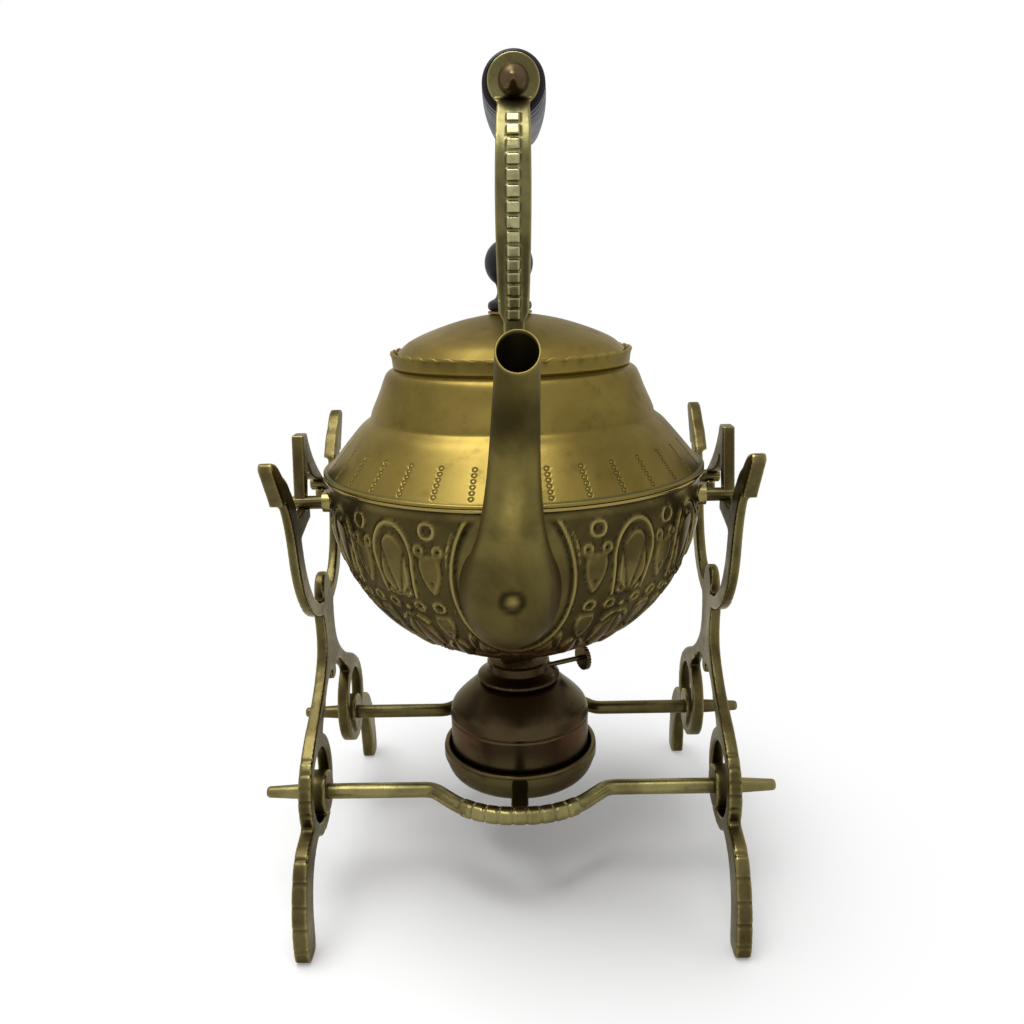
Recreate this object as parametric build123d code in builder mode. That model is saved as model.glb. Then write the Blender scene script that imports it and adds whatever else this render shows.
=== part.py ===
"""A brass spirit kettle on its stand.

The kettle hangs by four round pins in the tongues of two openwork side frames. It turns on the
front pins to pour. A spirit burner stands in a cup between the two rods of the stand.

Millimetres. X to the right, the spout points along -Y, Z up. The kettle's own axis is the Z axis
while the pieces are drawn. They are moved along Y at the end, so that the frame's origin lies on
the table under the middle of the whole object.
"""
import os
from math import cos, radians, sin, sqrt, tan

from build123d import *

os.makedirs("parts", exist_ok=True)

# ---------------------------------------------------------------- driving dimensions

# Fits
TURN_CLEARANCE = 0.05       # radial, a shaft or pin that turns in its hole
LOOSE_CLEARANCE = 0.5       # between pieces that lift or swing past each other
SEAT_GAP = 0.3              # under a piece that rests on another

# Kettle body, spun and raised from sheet
SHEET = 1.1                 # thickness of the brass sheet
BOWL_R = 68.5               # the bowl is half an ellipsoid
BOWL_DEPTH = 64.0
BOWL_TOP_Z = 150.0          # where the ellipsoid ends and the upright side starts
BOWL_FLAT_DROP = 62.0       # down to the flat underside over the flame
BOWL_SIDE_H = 8.5
SEAM_PROUD = 1.5            # the rolled seam stands out of the bowl
SEAM_LIP = 1.3
CONE_RUN = 8.8              # the punched cone runs in and rises to the step
CONE_RISE = 10.5
STEP_RUN = 7.9
STEP_RISE = 7.9
DOME_RUN = 8.9
DOME_RISE = 17.0
LEDGE_W = 1.9               # ledge inside the gallery that carries the lid
GALLERY_H = 6.1
GALLERY_WALL = 1.2
GALLERY_FLARE = 0.8
GALLERY_NICKS = 44
NICK_R = 0.7

BOWL_FLAT_Z = BOWL_TOP_Z - BOWL_FLAT_DROP
SEAM_Z = BOWL_TOP_Z + BOWL_SIDE_H       # where the shoulder is seamed to the bowl
SEAM_R = BOWL_R + SEAM_PROUD
SHOULDER_CONE_R = BOWL_R - CONE_RUN
SHOULDER_CONE_Z = SEAM_Z + SEAM_LIP + CONE_RISE
WAIST_R = SHOULDER_CONE_R - STEP_RUN
WAIST_Z = SHOULDER_CONE_Z + STEP_RISE
MOUTH_Z = WAIST_Z + DOME_RISE           # top face of the ledge
GALLERY_OUT_R = WAIST_R - DOME_RUN
GALLERY_R = GALLERY_OUT_R - GALLERY_WALL
GALLERY_TOP_Z = MOUTH_Z + GALLERY_H
MOUTH_R = GALLERY_R - LEDGE_W

# Lid
LID_RISE = 18.4             # from the ledge to the crown
LID_SIDE_H = 5.2
BEZEL_DEPTH = 2.4
LID_OPENING_GAP = 0.7       # round the lid, so that it can swing
KNOB_WASHER_T = 0.8
KNOB_BASE_R = 6.9
KNOB_NECK_R = 4.3
KNOB_BALL_R = 8.6
KNOB_H = 25.2
KNOB_STEM_R = 1.5
KNOB_STEM_DEPTH = 12.0

LID_R = GALLERY_R - LID_OPENING_GAP
LID_SEAT_Z = MOUTH_Z + SEAT_GAP
LID_CROWN_Z = MOUTH_Z + LID_RISE
LID_EDGE_Z = LID_SEAT_Z + LID_SIDE_H
KNOB_BASE_Z = LID_CROWN_Z + KNOB_WASHER_T
KNOB_BALL_Z = KNOB_BASE_Z + KNOB_H - KNOB_BALL_R

# Lid hinge, just inside the rear arm of the handle
KNUCKLE_R = 2.0
HINGE_PIN_R = 0.8
HINGE_INSET = 2.2           # hinge pin inside the gallery's inner face
HINGE_RISE = 2.9            # and above its top edge
LID_KNUCKLE_HALF = 4.0
HINGE_HALF = 9.0
KNUCKLE_GAP = 0.3
STRAP_LENGTH = 12.5         # how far the strap runs in over the lid
STRAP_T = 1.0

HINGE_Y = GALLERY_R - HINGE_INSET
HINGE_Z = GALLERY_TOP_Z + HINGE_RISE

# Handle
HANDLE_SHIFT = 1.5          # its feet stand to the right of the spout's plane
HANDLE_LEAN = 1.2           # and it leans to the right, degrees
GRIP_RISE = 87.3            # middle of the grip above the ledge
GRIP_HALF = 42.5
GRIP_END_R = 9.5
GRIP_MID_R = 10.4
GRIP_GROOVE = 0.6
GRIP_ROUND = 0.7
ARM_THICK = 3.8
ARM_NECK_W = 6.6
ARM_FOOT_W = 9.4
ARM_MID_W = 10.6
ARM_NECK_H = 17.6           # plain neck above the ledge, up to the shouldered foot of the wide part
ARM_BELLY = 14.0            # how far the arm bows out past its foot
ARM_BELLY_Z = 53.8          # height of the bow above the ledge
EYE_R = 7.8
EYE_THICK = 4.2
HANDLE_ROD_R = 2.0
FINIAL_R = 4.5
FINIAL_LENGTH = 7.0
BEAD_W = 3.9
BEAD_PITCH = 4.1
BEAD_COUNT = 15
BEAD_GAP = 0.9
BEAD_RISE = 0.9
BEAD_START = 24.0           # along the arm from its foot

GRIP_Z = MOUTH_Z + GRIP_RISE
ARM_FOOT_Y = GALLERY_OUT_R + ARM_THICK / 2 + 0.4

# Spout
LIP_R = 6.2
SPOUT_WALL = 1.0
SPOUT_LEAN = 3.2            # the spout leans to the right, degrees

# Pins and side brackets of the kettle
PIN_R = 2.4
PIN_DROP = 0.5              # pins below the top of the ellipsoid
FRONT_PIN_Y = -18.5
REAR_PIN_Y = 12.0
PIN_PROUD = 2.1             # pins stand out of the frames
PIN_COLLAR_R = 3.6
PIN_COLLAR_T = 2.4
BRACKET_T = 4.2
BRACKET_H = 23.9            # above the pins

PIN_Z = BOWL_TOP_Z - PIN_DROP

# Stand: side frames, cast
FRAME_GAP = 3.7             # from the bowl to the inner face of a foot
FRAME_LEAN = 2.0            # the inner face leans out this much up to the pins
FRAME_FOOT_T = 5.5
FRAME_HORN_T = 3.3
TIP_T = 4.8
TIP_INSET = 0.3
FOOT_REACH = 75.7
RING_Y = 36.0
RING_Z = 46.5
RING_R = 18.5
RING_HOLE_R = 13.5
BOSS_R = 8.0
BOSS_PROUD = 0.7            # how far the boss stands out of the ring
NOTCH_R = 0.8
NOTCH_OUT = 0.25            # middle of a cut outside the edge
RING_NOTCH_ANGLES = (56, 41, 26, 11, -5)
FOOT_NOTCH_SHARES = (0.26, 0.42, 0.58, 0.74, 0.9)
TONGUE_DROP = 1.2           # top of a tongue below the middle of its pin
TONGUE_LIP = 3.7            # length of a tongue past the middle of its pin
TONGUE_T = 5.2
FORK_DROP = 41.9            # bottom of the fork below the pins

FRAME_FOOT_X = BOWL_R + FRAME_GAP
FRAME_HORN_X = FRAME_FOOT_X + FRAME_LEAN
TIP_X = FRAME_HORN_X + TIP_INSET
PIN_END_X = FRAME_HORN_X + FRAME_HORN_T + PIN_PROUD
BRACKET_X = FRAME_HORN_X + 0.1
FORK_Z = PIN_Z - FORK_DROP

# Stand: rods and cup
ROD_R = 2.85
ROD_IN = 3.7                # a rod lies inside and below the middle of its ring
ROD_BELOW = 5.1
ROD_OVERHANG = 17.1         # past the outer face of a frame
ROD_TAPER = 14.0
ROD_TIP_R = 2.1
ROD_TIP_ROUND = 0.8
BOW_START_X = 32.5
BOW_MID_X = 15.5
BOW_OUT = 18.0              # how far the middle of a rod bows out
BOW_BEND_R = 7.0
BOW_ROUND_R = 31.0
ROD_BEAD_R = 3.2
ROD_BEAD_L = 4.2
ROD_BEAD_ROUND = 0.5
ROD_BEAD_PITCH = 4.9
ROD_BEAD_COUNT = 9
CUP_R = 30.6
CUP_H = 14.9
CUP_SUNK = 11.3             # underside of the cup below the rods
CUP_FLAT_R = 19.5
CUP_WALL = 2.4
CUP_RIM_ROUND = 1.1
CUP_ARM_W = 6.2
CUP_ARM_T = 4.0

ROD_Y = RING_Y - ROD_IN
ROD_Z = RING_Z - ROD_BELOW
ROD_END_X = FRAME_FOOT_X + FRAME_FOOT_T + ROD_OVERHANG
BOW_REACH = ROD_Y + BOW_OUT
CUP_BOTTOM_Z = ROD_Z - CUP_SUNK
CUP_TOP_Z = CUP_BOTTOM_Z + CUP_H

# Burner
CUP_PLAY = 0.8              # round the burner in its cup
FONT_SIDE_H = 24.4
FONT_TOP_IN = 10.6          # the dome of the font runs in to its flat top
FONT_H = 38.5
FONT_MOUTH_R = 9.0
FONT_WALL = 1.0
COLLAR_R = 12.3
COLLAR_H = 8.9
COLLAR_RING_R = 16.3        # swelling ring at the foot of the collar
COLLAR_RING_H = 5.0
WICK_W = 11.0
WICK_T = 2.4
WICK_PROUD = 2.0            # above the collar
WICK_LENGTH = 42.0
WICK_PLAY = 0.3
TUBE_WALL = 0.8
TUBE_PROUD = 1.0
TUBE_LENGTH = 18.5
WINDER_ANGLE = 27.0         # the shaft leans back from +X
WINDER_RISE = 4.6           # above the top of the font
WINDER_R = 1.0
FEED_WHEEL_R = 2.7
FEED_WHEEL_T = 3.0
FEED_TEETH = 10
THUMB_WHEEL_R = 5.2
THUMB_WHEEL_T = 1.8
THUMB_WHEEL_OUT = 14.0      # past the side of the collar
TOOTH_R = 0.45

FONT_R = CUP_R - CUP_WALL - CUP_PLAY
FONT_BOTTOM_Z = CUP_BOTTOM_Z + CUP_WALL + SEAT_GAP
FONT_SIDE_Z = FONT_BOTTOM_Z + FONT_SIDE_H
FONT_TOP_Z = FONT_BOTTOM_Z + FONT_H
FONT_TOP_R = FONT_R - FONT_TOP_IN
COLLAR_TOP_Z = FONT_TOP_Z + COLLAR_H
WICK_TOP_Z = COLLAR_TOP_Z + WICK_PROUD
TUBE_TOP_Z = COLLAR_TOP_Z + TUBE_PROUD
WINDER_Z = FONT_TOP_Z + WINDER_RISE
THUMB_WHEEL_AT = COLLAR_R + THUMB_WHEEL_OUT

PARTS = {}

# ---------------------------------------------------------------- kettle body


def bowl_radius(z, inset=0.0):
    """Radius of the bowl's ellipsoid at a height, for its outer face or one inset by the sheet."""
    drop = (BOWL_TOP_Z - z) / (BOWL_DEPTH - inset)
    return (BOWL_R - inset) * sqrt(max(0.0, 1.0 - drop * drop))


def bowl_outline(inset):
    """Half section of the bowl up to its top edge, closed on the axis."""
    bottom_z = BOWL_FLAT_Z + inset
    with BuildLine() as outline:
        flat = Line((0, bottom_z), (bowl_radius(bottom_z, inset), bottom_z))
        heights = [bottom_z + (BOWL_TOP_Z - bottom_z) * share for share in (0.04, 0.15, 0.35, 0.6, 0.8)]
        curve = Spline(
            flat @ 1,
            *[(bowl_radius(z, inset), z) for z in heights],
            (BOWL_R - inset, BOWL_TOP_Z),
            tangents=[(1, 0.12), (0, 1)],
        )
        side = Line(curve @ 1, (BOWL_R - inset, SEAM_Z))
        Polyline(side @ 1, (0, SEAM_Z), (0, bottom_z))
    return outline.line


with BuildPart() as bowl_solid:
    with BuildSketch(Plane.XZ):
        with BuildLine():
            add(bowl_outline(0.0))
        make_face()
    revolve(axis=Axis.Z)

STRAINER_Z = BOWL_TOP_Z - 14.0
STRAINER_HOLE_R = 1.6
STRAINER_PITCH = 6.0

with BuildPart() as kettle_bowl:
    add(bowl_solid.part)
    with BuildSketch(Plane.XZ):
        with Locations((SEAM_R - 3.0, SEAM_Z - SEAM_LIP)):
            Rectangle(3.0, SEAM_LIP, align=(Align.MIN, Align.MIN))
    revolve(axis=Axis.Z)
    with BuildSketch(Plane.XZ):
        with BuildLine():
            add(bowl_outline(SHEET))
        make_face()
    revolve(axis=Axis.Z, mode=Mode.SUBTRACT)
    # strainer behind the spout
    with BuildSketch(Plane.XZ.offset(BOWL_R / 2)):
        with Locations((0, STRAINER_Z)):
            with HexLocations(STRAINER_PITCH / sqrt(3), 3, 3):
                Circle(STRAINER_HOLE_R)
    extrude(amount=BOWL_R, mode=Mode.SUBTRACT)
PARTS["kettle_bowl"] = kettle_bowl


def shoulder_outline(inset):
    """Half section of the shoulder: cone, step, waist and upper dome, closed on the axis."""
    cone_foot_z = SEAM_Z + SEAM_LIP
    ledge_z = MOUTH_Z - inset
    with BuildLine() as outline:
        cone = Line((BOWL_R - 0.7 * inset, cone_foot_z - 0.7 * inset),
                    (SHOULDER_CONE_R - 0.7 * inset, SHOULDER_CONE_Z - 0.7 * inset))
        step = Spline(
            cone @ 1,
            (SHOULDER_CONE_R - 3.9 - 0.8 * inset, SHOULDER_CONE_Z + 4.4 - 0.6 * inset),
            (WAIST_R - inset, WAIST_Z - 0.3 * inset),
            tangents=[cone % 1, (-0.35, 1)],
        )
        dome = Spline(
            step @ 1,
            (WAIST_R - 3.6 - 0.9 * inset, WAIST_Z + 8.8 - 0.4 * inset),
            (GALLERY_OUT_R - inset, ledge_z),
            tangents=[(0.05, 1), (-0.8, 0.6)],
        )
        Polyline(dome @ 1, (0, ledge_z), (0, SEAM_Z), (BOWL_R - inset, SEAM_Z), cone @ 0)
    return outline.line


with BuildPart() as shoulder_solid:
    with BuildSketch(Plane.XZ):
        with BuildLine():
            add(shoulder_outline(0.0))
        make_face()
        with Locations((SEAM_R - 4.0, SEAM_Z)):
            Rectangle(4.0, SEAM_LIP, align=(Align.MIN, Align.MIN))
    revolve(axis=Axis.Z)

with BuildPart() as kettle_shoulder:
    add(shoulder_solid.part)
    with BuildSketch(Plane.XZ):
        with BuildLine():
            add(shoulder_outline(SHEET))
        make_face()
    revolve(axis=Axis.Z, mode=Mode.SUBTRACT)
    with Locations((0, 0, MOUTH_Z)):
        Cylinder(MOUTH_R, 4 * SHEET, mode=Mode.SUBTRACT)
PARTS["kettle_shoulder"] = kettle_shoulder

# ---------------------------------------------------------------- gallery

with BuildPart() as gallery_envelope:
    with BuildSketch(Plane.XZ):
        with BuildLine():
            Polyline((0, MOUTH_Z), (GALLERY_OUT_R, MOUTH_Z), (GALLERY_OUT_R, GALLERY_TOP_Z - 2.5),
                     (GALLERY_OUT_R + GALLERY_FLARE, GALLERY_TOP_Z - 0.8),
                     (GALLERY_OUT_R + GALLERY_FLARE, GALLERY_TOP_Z), (0, GALLERY_TOP_Z), close=True)
        make_face()
    revolve(axis=Axis.Z)

with BuildPart() as gallery_rim:
    add(gallery_envelope.part)
    with Locations((0, 0, MOUTH_Z + GALLERY_H / 2)):
        Cylinder(GALLERY_R, 2 * GALLERY_H, mode=Mode.SUBTRACT)
    with BuildSketch(Plane.XY.offset(GALLERY_TOP_Z - 0.8)):
        with PolarLocations(GALLERY_OUT_R + GALLERY_FLARE + 0.2, GALLERY_NICKS):
            Circle(NICK_R)
    extrude(amount=1.0, mode=Mode.SUBTRACT)
PARTS["gallery_rim"] = gallery_rim

# ---------------------------------------------------------------- spout

# Each section: its middle out from the bowl's side and up from the bowl's top, its width, its depth,
# and how far its plane leans forward.
SPOUT_SECTIONS = [
    (-10.5, -19.0, 33.0, 40.0, 75.0),
    (0.5, -16.0, 31.5, 37.0, 62.0),
    (8.5, -7.5, 27.0, 27.0, 33.0),
    (12.5, 6.0, 19.6, 19.6, 12.0),
    (15.5, 22.0, 15.6, 15.6, 9.0),
    (18.9, 38.0, 13.8, 13.8, 13.0),
    (22.5, 50.0, 12.8, 12.8, 20.0),
    (26.0, 58.0, 2 * LIP_R, 2 * LIP_R + 2.4, 48.0),
]


def spout_planes():
    sideways = tan(radians(SPOUT_LEAN))
    return [Plane(origin=(sideways * rise, -BOWL_R - out, BOWL_TOP_Z + rise), x_dir=(1, 0, 0),
                  z_dir=(0, -sin(radians(lean)), cos(radians(lean))))
            for out, rise, width, depth, lean in SPOUT_SECTIONS]


with BuildPart() as spout:
    for plane, (out, rise, width, depth, lean) in zip(spout_planes(), SPOUT_SECTIONS):
        with BuildSketch(plane):
            Ellipse(width / 2, depth / 2)
    loft()
    for plane, (out, rise, width, depth, lean) in zip(spout_planes(), SPOUT_SECTIONS):
        with BuildSketch(plane):
            Ellipse(width / 2 - SPOUT_WALL, depth / 2 - SPOUT_WALL)
    loft(mode=Mode.SUBTRACT)
    add(bowl_solid.part, mode=Mode.SUBTRACT)
PARTS["spout"] = spout

# ---------------------------------------------------------------- lid


def lid_outline(inset):
    """Half section of the lid: upright side and low dome, closed on the axis."""
    with BuildLine() as outline:
        side = Line((LID_R - inset, LID_SEAT_Z), (LID_R - inset, LID_EDGE_Z - 0.4 * inset))
        dome = Spline(
            side @ 1,
            (LID_R - 12.6 - 0.5 * inset, LID_EDGE_Z + 7.3 - 0.9 * inset),
            (0, LID_CROWN_Z - inset),
            tangents=[(-0.82, 0.57), (-1, 0)],
        )
        Polyline(dome @ 1, (0, LID_SEAT_Z), side @ 0)
    return outline.line


with BuildPart() as lid_solid:
    with BuildSketch(Plane.XZ):
        with BuildLine():
            add(lid_outline(0.0))
        make_face()
    revolve(axis=Axis.Z)

with BuildPart() as lid_dome:
    add(lid_solid.part)
    with BuildSketch(Plane.XZ):
        with BuildLine():
            add(lid_outline(SHEET))
        make_face()
    revolve(axis=Axis.Z, mode=Mode.SUBTRACT)
    with Locations((0, 0, LID_CROWN_Z)):
        Cylinder(KNOB_STEM_R, 4 * SHEET, mode=Mode.SUBTRACT)
PARTS["lid_dome"] = lid_dome

BEZEL_R = MOUTH_R - LOOSE_CLEARANCE
with BuildPart() as lid_bezel:
    with BuildSketch(Plane.XZ):
        with BuildLine():
            Polyline((LID_R - SHEET, LID_SEAT_Z), (LID_R - SHEET, LID_SEAT_Z + SHEET),
                     (BEZEL_R - SHEET, LID_SEAT_Z + SHEET), (BEZEL_R - SHEET, LID_SEAT_Z - BEZEL_DEPTH),
                     (BEZEL_R, LID_SEAT_Z - BEZEL_DEPTH), (BEZEL_R, LID_SEAT_Z), close=True)
        make_face()
    revolve(axis=Axis.Z)
PARTS["lid_bezel"] = lid_bezel

with BuildPart() as knob_washer:
    with Locations((0, 0, LID_CROWN_Z)):
        Cylinder(KNOB_BASE_R + 1.0, KNOB_WASHER_T, align=(Align.CENTER, Align.CENTER, Align.MIN))
        Cylinder(KNOB_STEM_R, 4 * KNOB_WASHER_T, mode=Mode.SUBTRACT)
PARTS["knob_washer"] = knob_washer

with BuildPart() as lid_knob:
    with BuildSketch(Plane.XZ):
        with BuildLine():
            foot = Line((0, KNOB_BASE_Z), (KNOB_BASE_R - 0.8, KNOB_BASE_Z))
            rim = ThreePointArc(foot @ 1, (KNOB_BASE_R, KNOB_BASE_Z + 1.6), (KNOB_BASE_R - 0.9, KNOB_BASE_Z + 3.4))
            neck = Spline(rim @ 1, (KNOB_NECK_R, KNOB_BALL_Z - 9.6),
                          (KNOB_BALL_R * sin(radians(38)), KNOB_BALL_Z - KNOB_BALL_R * cos(radians(38))),
                          tangents=[(-1, 0.6), (0.9, 0.8)])
            ball = ThreePointArc(neck @ 1, (KNOB_BALL_R, KNOB_BALL_Z), (0, KNOB_BALL_Z + KNOB_BALL_R))
            Line(ball @ 1, foot @ 0)
        make_face()
    revolve(axis=Axis.Z)
    with Locations((0, 0, KNOB_BASE_Z - 1.0)):
        Cylinder(KNOB_STEM_R, KNOB_STEM_DEPTH + 1.0, align=(Align.CENTER, Align.CENTER, Align.MIN),
                 mode=Mode.SUBTRACT)
PARTS["lid_knob"] = lid_knob

SCREW_HEAD_R = 3.2
SCREW_HEAD_T = 1.6
SCREW_FOOT_Z = LID_CROWN_Z - SHEET - SCREW_HEAD_T - 0.1
with BuildPart() as knob_screw:
    with Locations((0, 0, SCREW_FOOT_Z)):
        Cylinder(SCREW_HEAD_R, SCREW_HEAD_T, align=(Align.CENTER, Align.CENTER, Align.MIN))
        Cylinder(KNOB_STEM_R, KNOB_BASE_Z + KNOB_STEM_DEPTH - SCREW_FOOT_Z,
                 align=(Align.CENTER, Align.CENTER, Align.MIN))
        Box(3 * SCREW_HEAD_R, 0.9, 1.4, mode=Mode.SUBTRACT)
PARTS["knob_screw"] = knob_screw

# ---------------------------------------------------------------- lid hinge

hinge_axis_plane = Plane(origin=(0, HINGE_Y, HINGE_Z), x_dir=(0, 1, 0), z_dir=(1, 0, 0))

with BuildPart() as lid_hinge_strap:
    with BuildSketch(Plane.XZ):
        with BuildLine():
            add(lid_outline(-STRAP_T))
        make_face()
    revolve(axis=Axis.Z)
    with Locations((0, HINGE_Y, HINGE_Z)):
        Box(2 * LID_KNUCKLE_HALF, STRAP_LENGTH, STRAP_LENGTH, align=(Align.CENTER, Align.MAX, Align.CENTER),
            mode=Mode.INTERSECT)
    add(lid_solid.part, mode=Mode.SUBTRACT)
    with BuildSketch(hinge_axis_plane):
        Circle(KNUCKLE_R)
    extrude(amount=LID_KNUCKLE_HALF, both=True)
    with BuildSketch(hinge_axis_plane):
        Circle(HINGE_PIN_R + TURN_CLEARANCE)
    extrude(amount=HINGE_HALF, both=True, mode=Mode.SUBTRACT)
PARTS["lid_hinge_strap"] = lid_hinge_strap

with BuildPart() as lid_hinge_knuckles:
    with BuildSketch(hinge_axis_plane):
        Circle(KNUCKLE_R)
        with Locations((0, -KNUCKLE_R)):
            Rectangle(GALLERY_OUT_R - HINGE_Y, KNUCKLE_R, align=(Align.MIN, Align.MIN))
        with Locations((GALLERY_R + 0.2 - HINGE_Y, GALLERY_TOP_Z - HINGE_Z)):
            Rectangle(GALLERY_WALL - 0.2, HINGE_Z - GALLERY_TOP_Z, align=(Align.MIN, Align.MIN))
        Circle(HINGE_PIN_R, mode=Mode.SUBTRACT)
    extrude(amount=HINGE_HALF, both=True)
    with Locations((0, HINGE_Y, HINGE_Z)):
        Box(2 * (LID_KNUCKLE_HALF + KNUCKLE_GAP), 12.0, 12.0, mode=Mode.SUBTRACT)
PARTS["lid_hinge_knuckles"] = lid_hinge_knuckles

with BuildPart() as lid_hinge_pin:
    with BuildSketch(hinge_axis_plane):
        Circle(HINGE_PIN_R)
    extrude(amount=HINGE_HALF + 0.5, both=True)
PARTS["lid_hinge_pin"] = lid_hinge_pin

# ---------------------------------------------------------------- handle

ARM_PATH = [
    (ARM_FOOT_Y, MOUTH_Z - 3.0),
    (ARM_FOOT_Y + 0.1, GALLERY_TOP_Z + 4.7),
    (ARM_FOOT_Y + 2.4, MOUTH_Z + ARM_NECK_H + 4.2),
    (ARM_FOOT_Y + ARM_BELLY - 4.6, MOUTH_Z + ARM_BELLY_Z - 15.5),
    (ARM_FOOT_Y + ARM_BELLY, MOUTH_Z + ARM_BELLY_Z),
    (ARM_FOOT_Y + ARM_BELLY - 1.4, GRIP_Z - 21.0),
    (GRIP_HALF + 9.5, GRIP_Z - 11.5),
    (GRIP_HALF + EYE_THICK / 2, GRIP_Z - 5.7),
]


# The handle is made upright over the kettle's middle and then leant over about its feet.
handle_place = Location((HANDLE_SHIFT, 0, MOUTH_Z), (0, HANDLE_LEAN, 0)) * Location((0, 0, -MOUTH_Z))


def beside(curve, share, distance):
    """Point beside a curve in the YZ plane: away from the curve by a distance, outward positive."""
    along = curve.tangent_at(share)
    point = curve.position_at(share)
    return (point.Y + along.Z * distance, point.Z - along.Y * distance)


with BuildLine(Plane.YZ) as arm_middle:
    Spline(*ARM_PATH, tangents=[(0, 1), (-0.7, 0.7)])
arm_curve = arm_middle.edges()[0]
ARM_SHARES = [number / 8 for number in range(9)]

with BuildPart() as arm_blank:
    with BuildSketch(Plane.YZ):
        with BuildLine():
            outer = Spline(*[beside(arm_curve, share, ARM_THICK / 2) for share in ARM_SHARES])
            inner = Spline(*[beside(arm_curve, share, -ARM_THICK / 2) for share in ARM_SHARES])
            Line(outer @ 0, inner @ 0)
            Line(outer @ 1, inner @ 1)
        make_face()
        with Locations((GRIP_HALF, GRIP_Z - EYE_R)):
            Rectangle(EYE_THICK, 2 * EYE_R, align=(Align.MIN, Align.MIN))
        with Locations((GRIP_HALF, GRIP_Z - EYE_R)):
            Rectangle(GRIP_HALF / 2, 2 * EYE_R, align=(Align.MAX, Align.MIN), mode=Mode.SUBTRACT)
    extrude(amount=EYE_R, both=True)
    # front view of the arm: narrow neck, shouldered foot of the beaded part, swelling middle
    with BuildSketch(Plane.XZ):
        with BuildLine():
            neck_top = MOUTH_Z + ARM_NECK_H
            arm_top = GRIP_Z - 5.5
            neck = Polyline((0, MOUTH_Z - 4.0), (ARM_NECK_W / 2, MOUTH_Z - 4.0), (ARM_NECK_W / 2, neck_top),
                            (ARM_FOOT_W / 2 - 1.2, neck_top + 0.6), (ARM_FOOT_W / 2, neck_top + 2.8))
            swell = Spline(neck @ 1, (ARM_MID_W / 2, (neck_top + arm_top) / 2), (ARM_FOOT_W / 2 + 0.1, arm_top))
            Polyline(swell @ 1, (0, arm_top), neck @ 0)
        make_face()
        mirror(about=Plane.YZ)
        with Locations((0, GRIP_Z)):
            Circle(EYE_R)
            Circle(HANDLE_ROD_R, mode=Mode.SUBTRACT)
    extrude(amount=-2 * GRIP_HALF, mode=Mode.INTERSECT)
    # the row of square beads down the outer face
    for number in range(BEAD_COUNT):
        share = (BEAD_START + BEAD_PITCH * number) / arm_curve.length
        middle_y, middle_z = beside(arm_curve, share, ARM_THICK / 2 - 0.3)
        along = arm_curve.tangent_at(share)
        with BuildSketch(Plane(origin=(0, middle_y, middle_z), x_dir=(1, 0, 0), z_dir=(0, along.Z, -along.Y))):
            Rectangle(BEAD_W, BEAD_PITCH - BEAD_GAP)
        extrude(amount=BEAD_RISE + 0.3)

with BuildPart() as rear_handle_arm:
    add(arm_blank.part.moved(handle_place))
    add(gallery_envelope.part, mode=Mode.SUBTRACT)
    add(shoulder_solid.part, mode=Mode.SUBTRACT)
PARTS["rear_handle_arm"] = rear_handle_arm

with BuildPart() as front_handle_arm:
    mirror(rear_handle_arm.part, about=Plane.XZ)
PARTS["front_handle_arm"] = front_handle_arm

grip_axis = Axis((0, 0, GRIP_Z), (0, 1, 0))
with BuildPart() as handle_grip:
    with BuildSketch(Plane.YZ):
        with BuildLine():
            rear_end = Polyline((GRIP_HALF, GRIP_Z + HANDLE_ROD_R), (GRIP_HALF, GRIP_Z + GRIP_END_R - GRIP_ROUND),
                                (GRIP_HALF - GRIP_ROUND, GRIP_Z + GRIP_END_R))
            swell = Spline(rear_end @ 1, (GRIP_HALF * 0.6, GRIP_Z + (GRIP_END_R + GRIP_MID_R) / 2 + 0.1),
                           (0, GRIP_Z + GRIP_MID_R), (-GRIP_HALF * 0.6, GRIP_Z + (GRIP_END_R + GRIP_MID_R) / 2 + 0.1),
                           (GRIP_ROUND - GRIP_HALF, GRIP_Z + GRIP_END_R))
            Polyline(swell @ 1, (-GRIP_HALF, GRIP_Z + GRIP_END_R - GRIP_ROUND), (-GRIP_HALF, GRIP_Z + HANDLE_ROD_R),
                     rear_end @ 0)
        make_face()
        for groove_y in (GRIP_HALF - 3.5, GRIP_HALF - 5.5, GRIP_HALF - 11.0):
            with Locations((groove_y, GRIP_Z + GRIP_END_R + 0.4), (-groove_y, GRIP_Z + GRIP_END_R + 0.4)):
                Circle(GRIP_GROOVE, mode=Mode.SUBTRACT)
    revolve(axis=grip_axis)
handle_grip.part = handle_grip.part.moved(handle_place)
PARTS["handle_grip"] = handle_grip

ROD_REACH = GRIP_HALF + EYE_THICK + 3.0
with BuildPart() as handle_rod:
    with BuildSketch(Plane.XZ.offset(-ROD_REACH)):
        with Locations((0, GRIP_Z)):
            Circle(HANDLE_ROD_R)
    extrude(amount=2 * ROD_REACH)
handle_rod.part = handle_rod.part.moved(handle_place)
PARTS["handle_rod"] = handle_rod

with BuildPart() as finial_blank:
    with BuildSketch(Plane.YZ):
        seat_y = GRIP_HALF + EYE_THICK
        with BuildLine():
            seat = Line((seat_y, GRIP_Z), (seat_y, GRIP_Z + FINIAL_R - 0.5))
            rim = ThreePointArc(seat @ 1, (seat_y + 1.0, GRIP_Z + FINIAL_R), (seat_y + 2.2, GRIP_Z + FINIAL_R - 0.4))
            nose = Spline(rim @ 1, (seat_y + FINIAL_LENGTH - 1.6, GRIP_Z + 1.9), (seat_y + FINIAL_LENGTH, GRIP_Z),
                          tangents=[(1, -0.35), (0.2, -1)])
            Line(nose @ 1, seat @ 0)
        make_face()
    revolve(axis=grip_axis)

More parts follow.
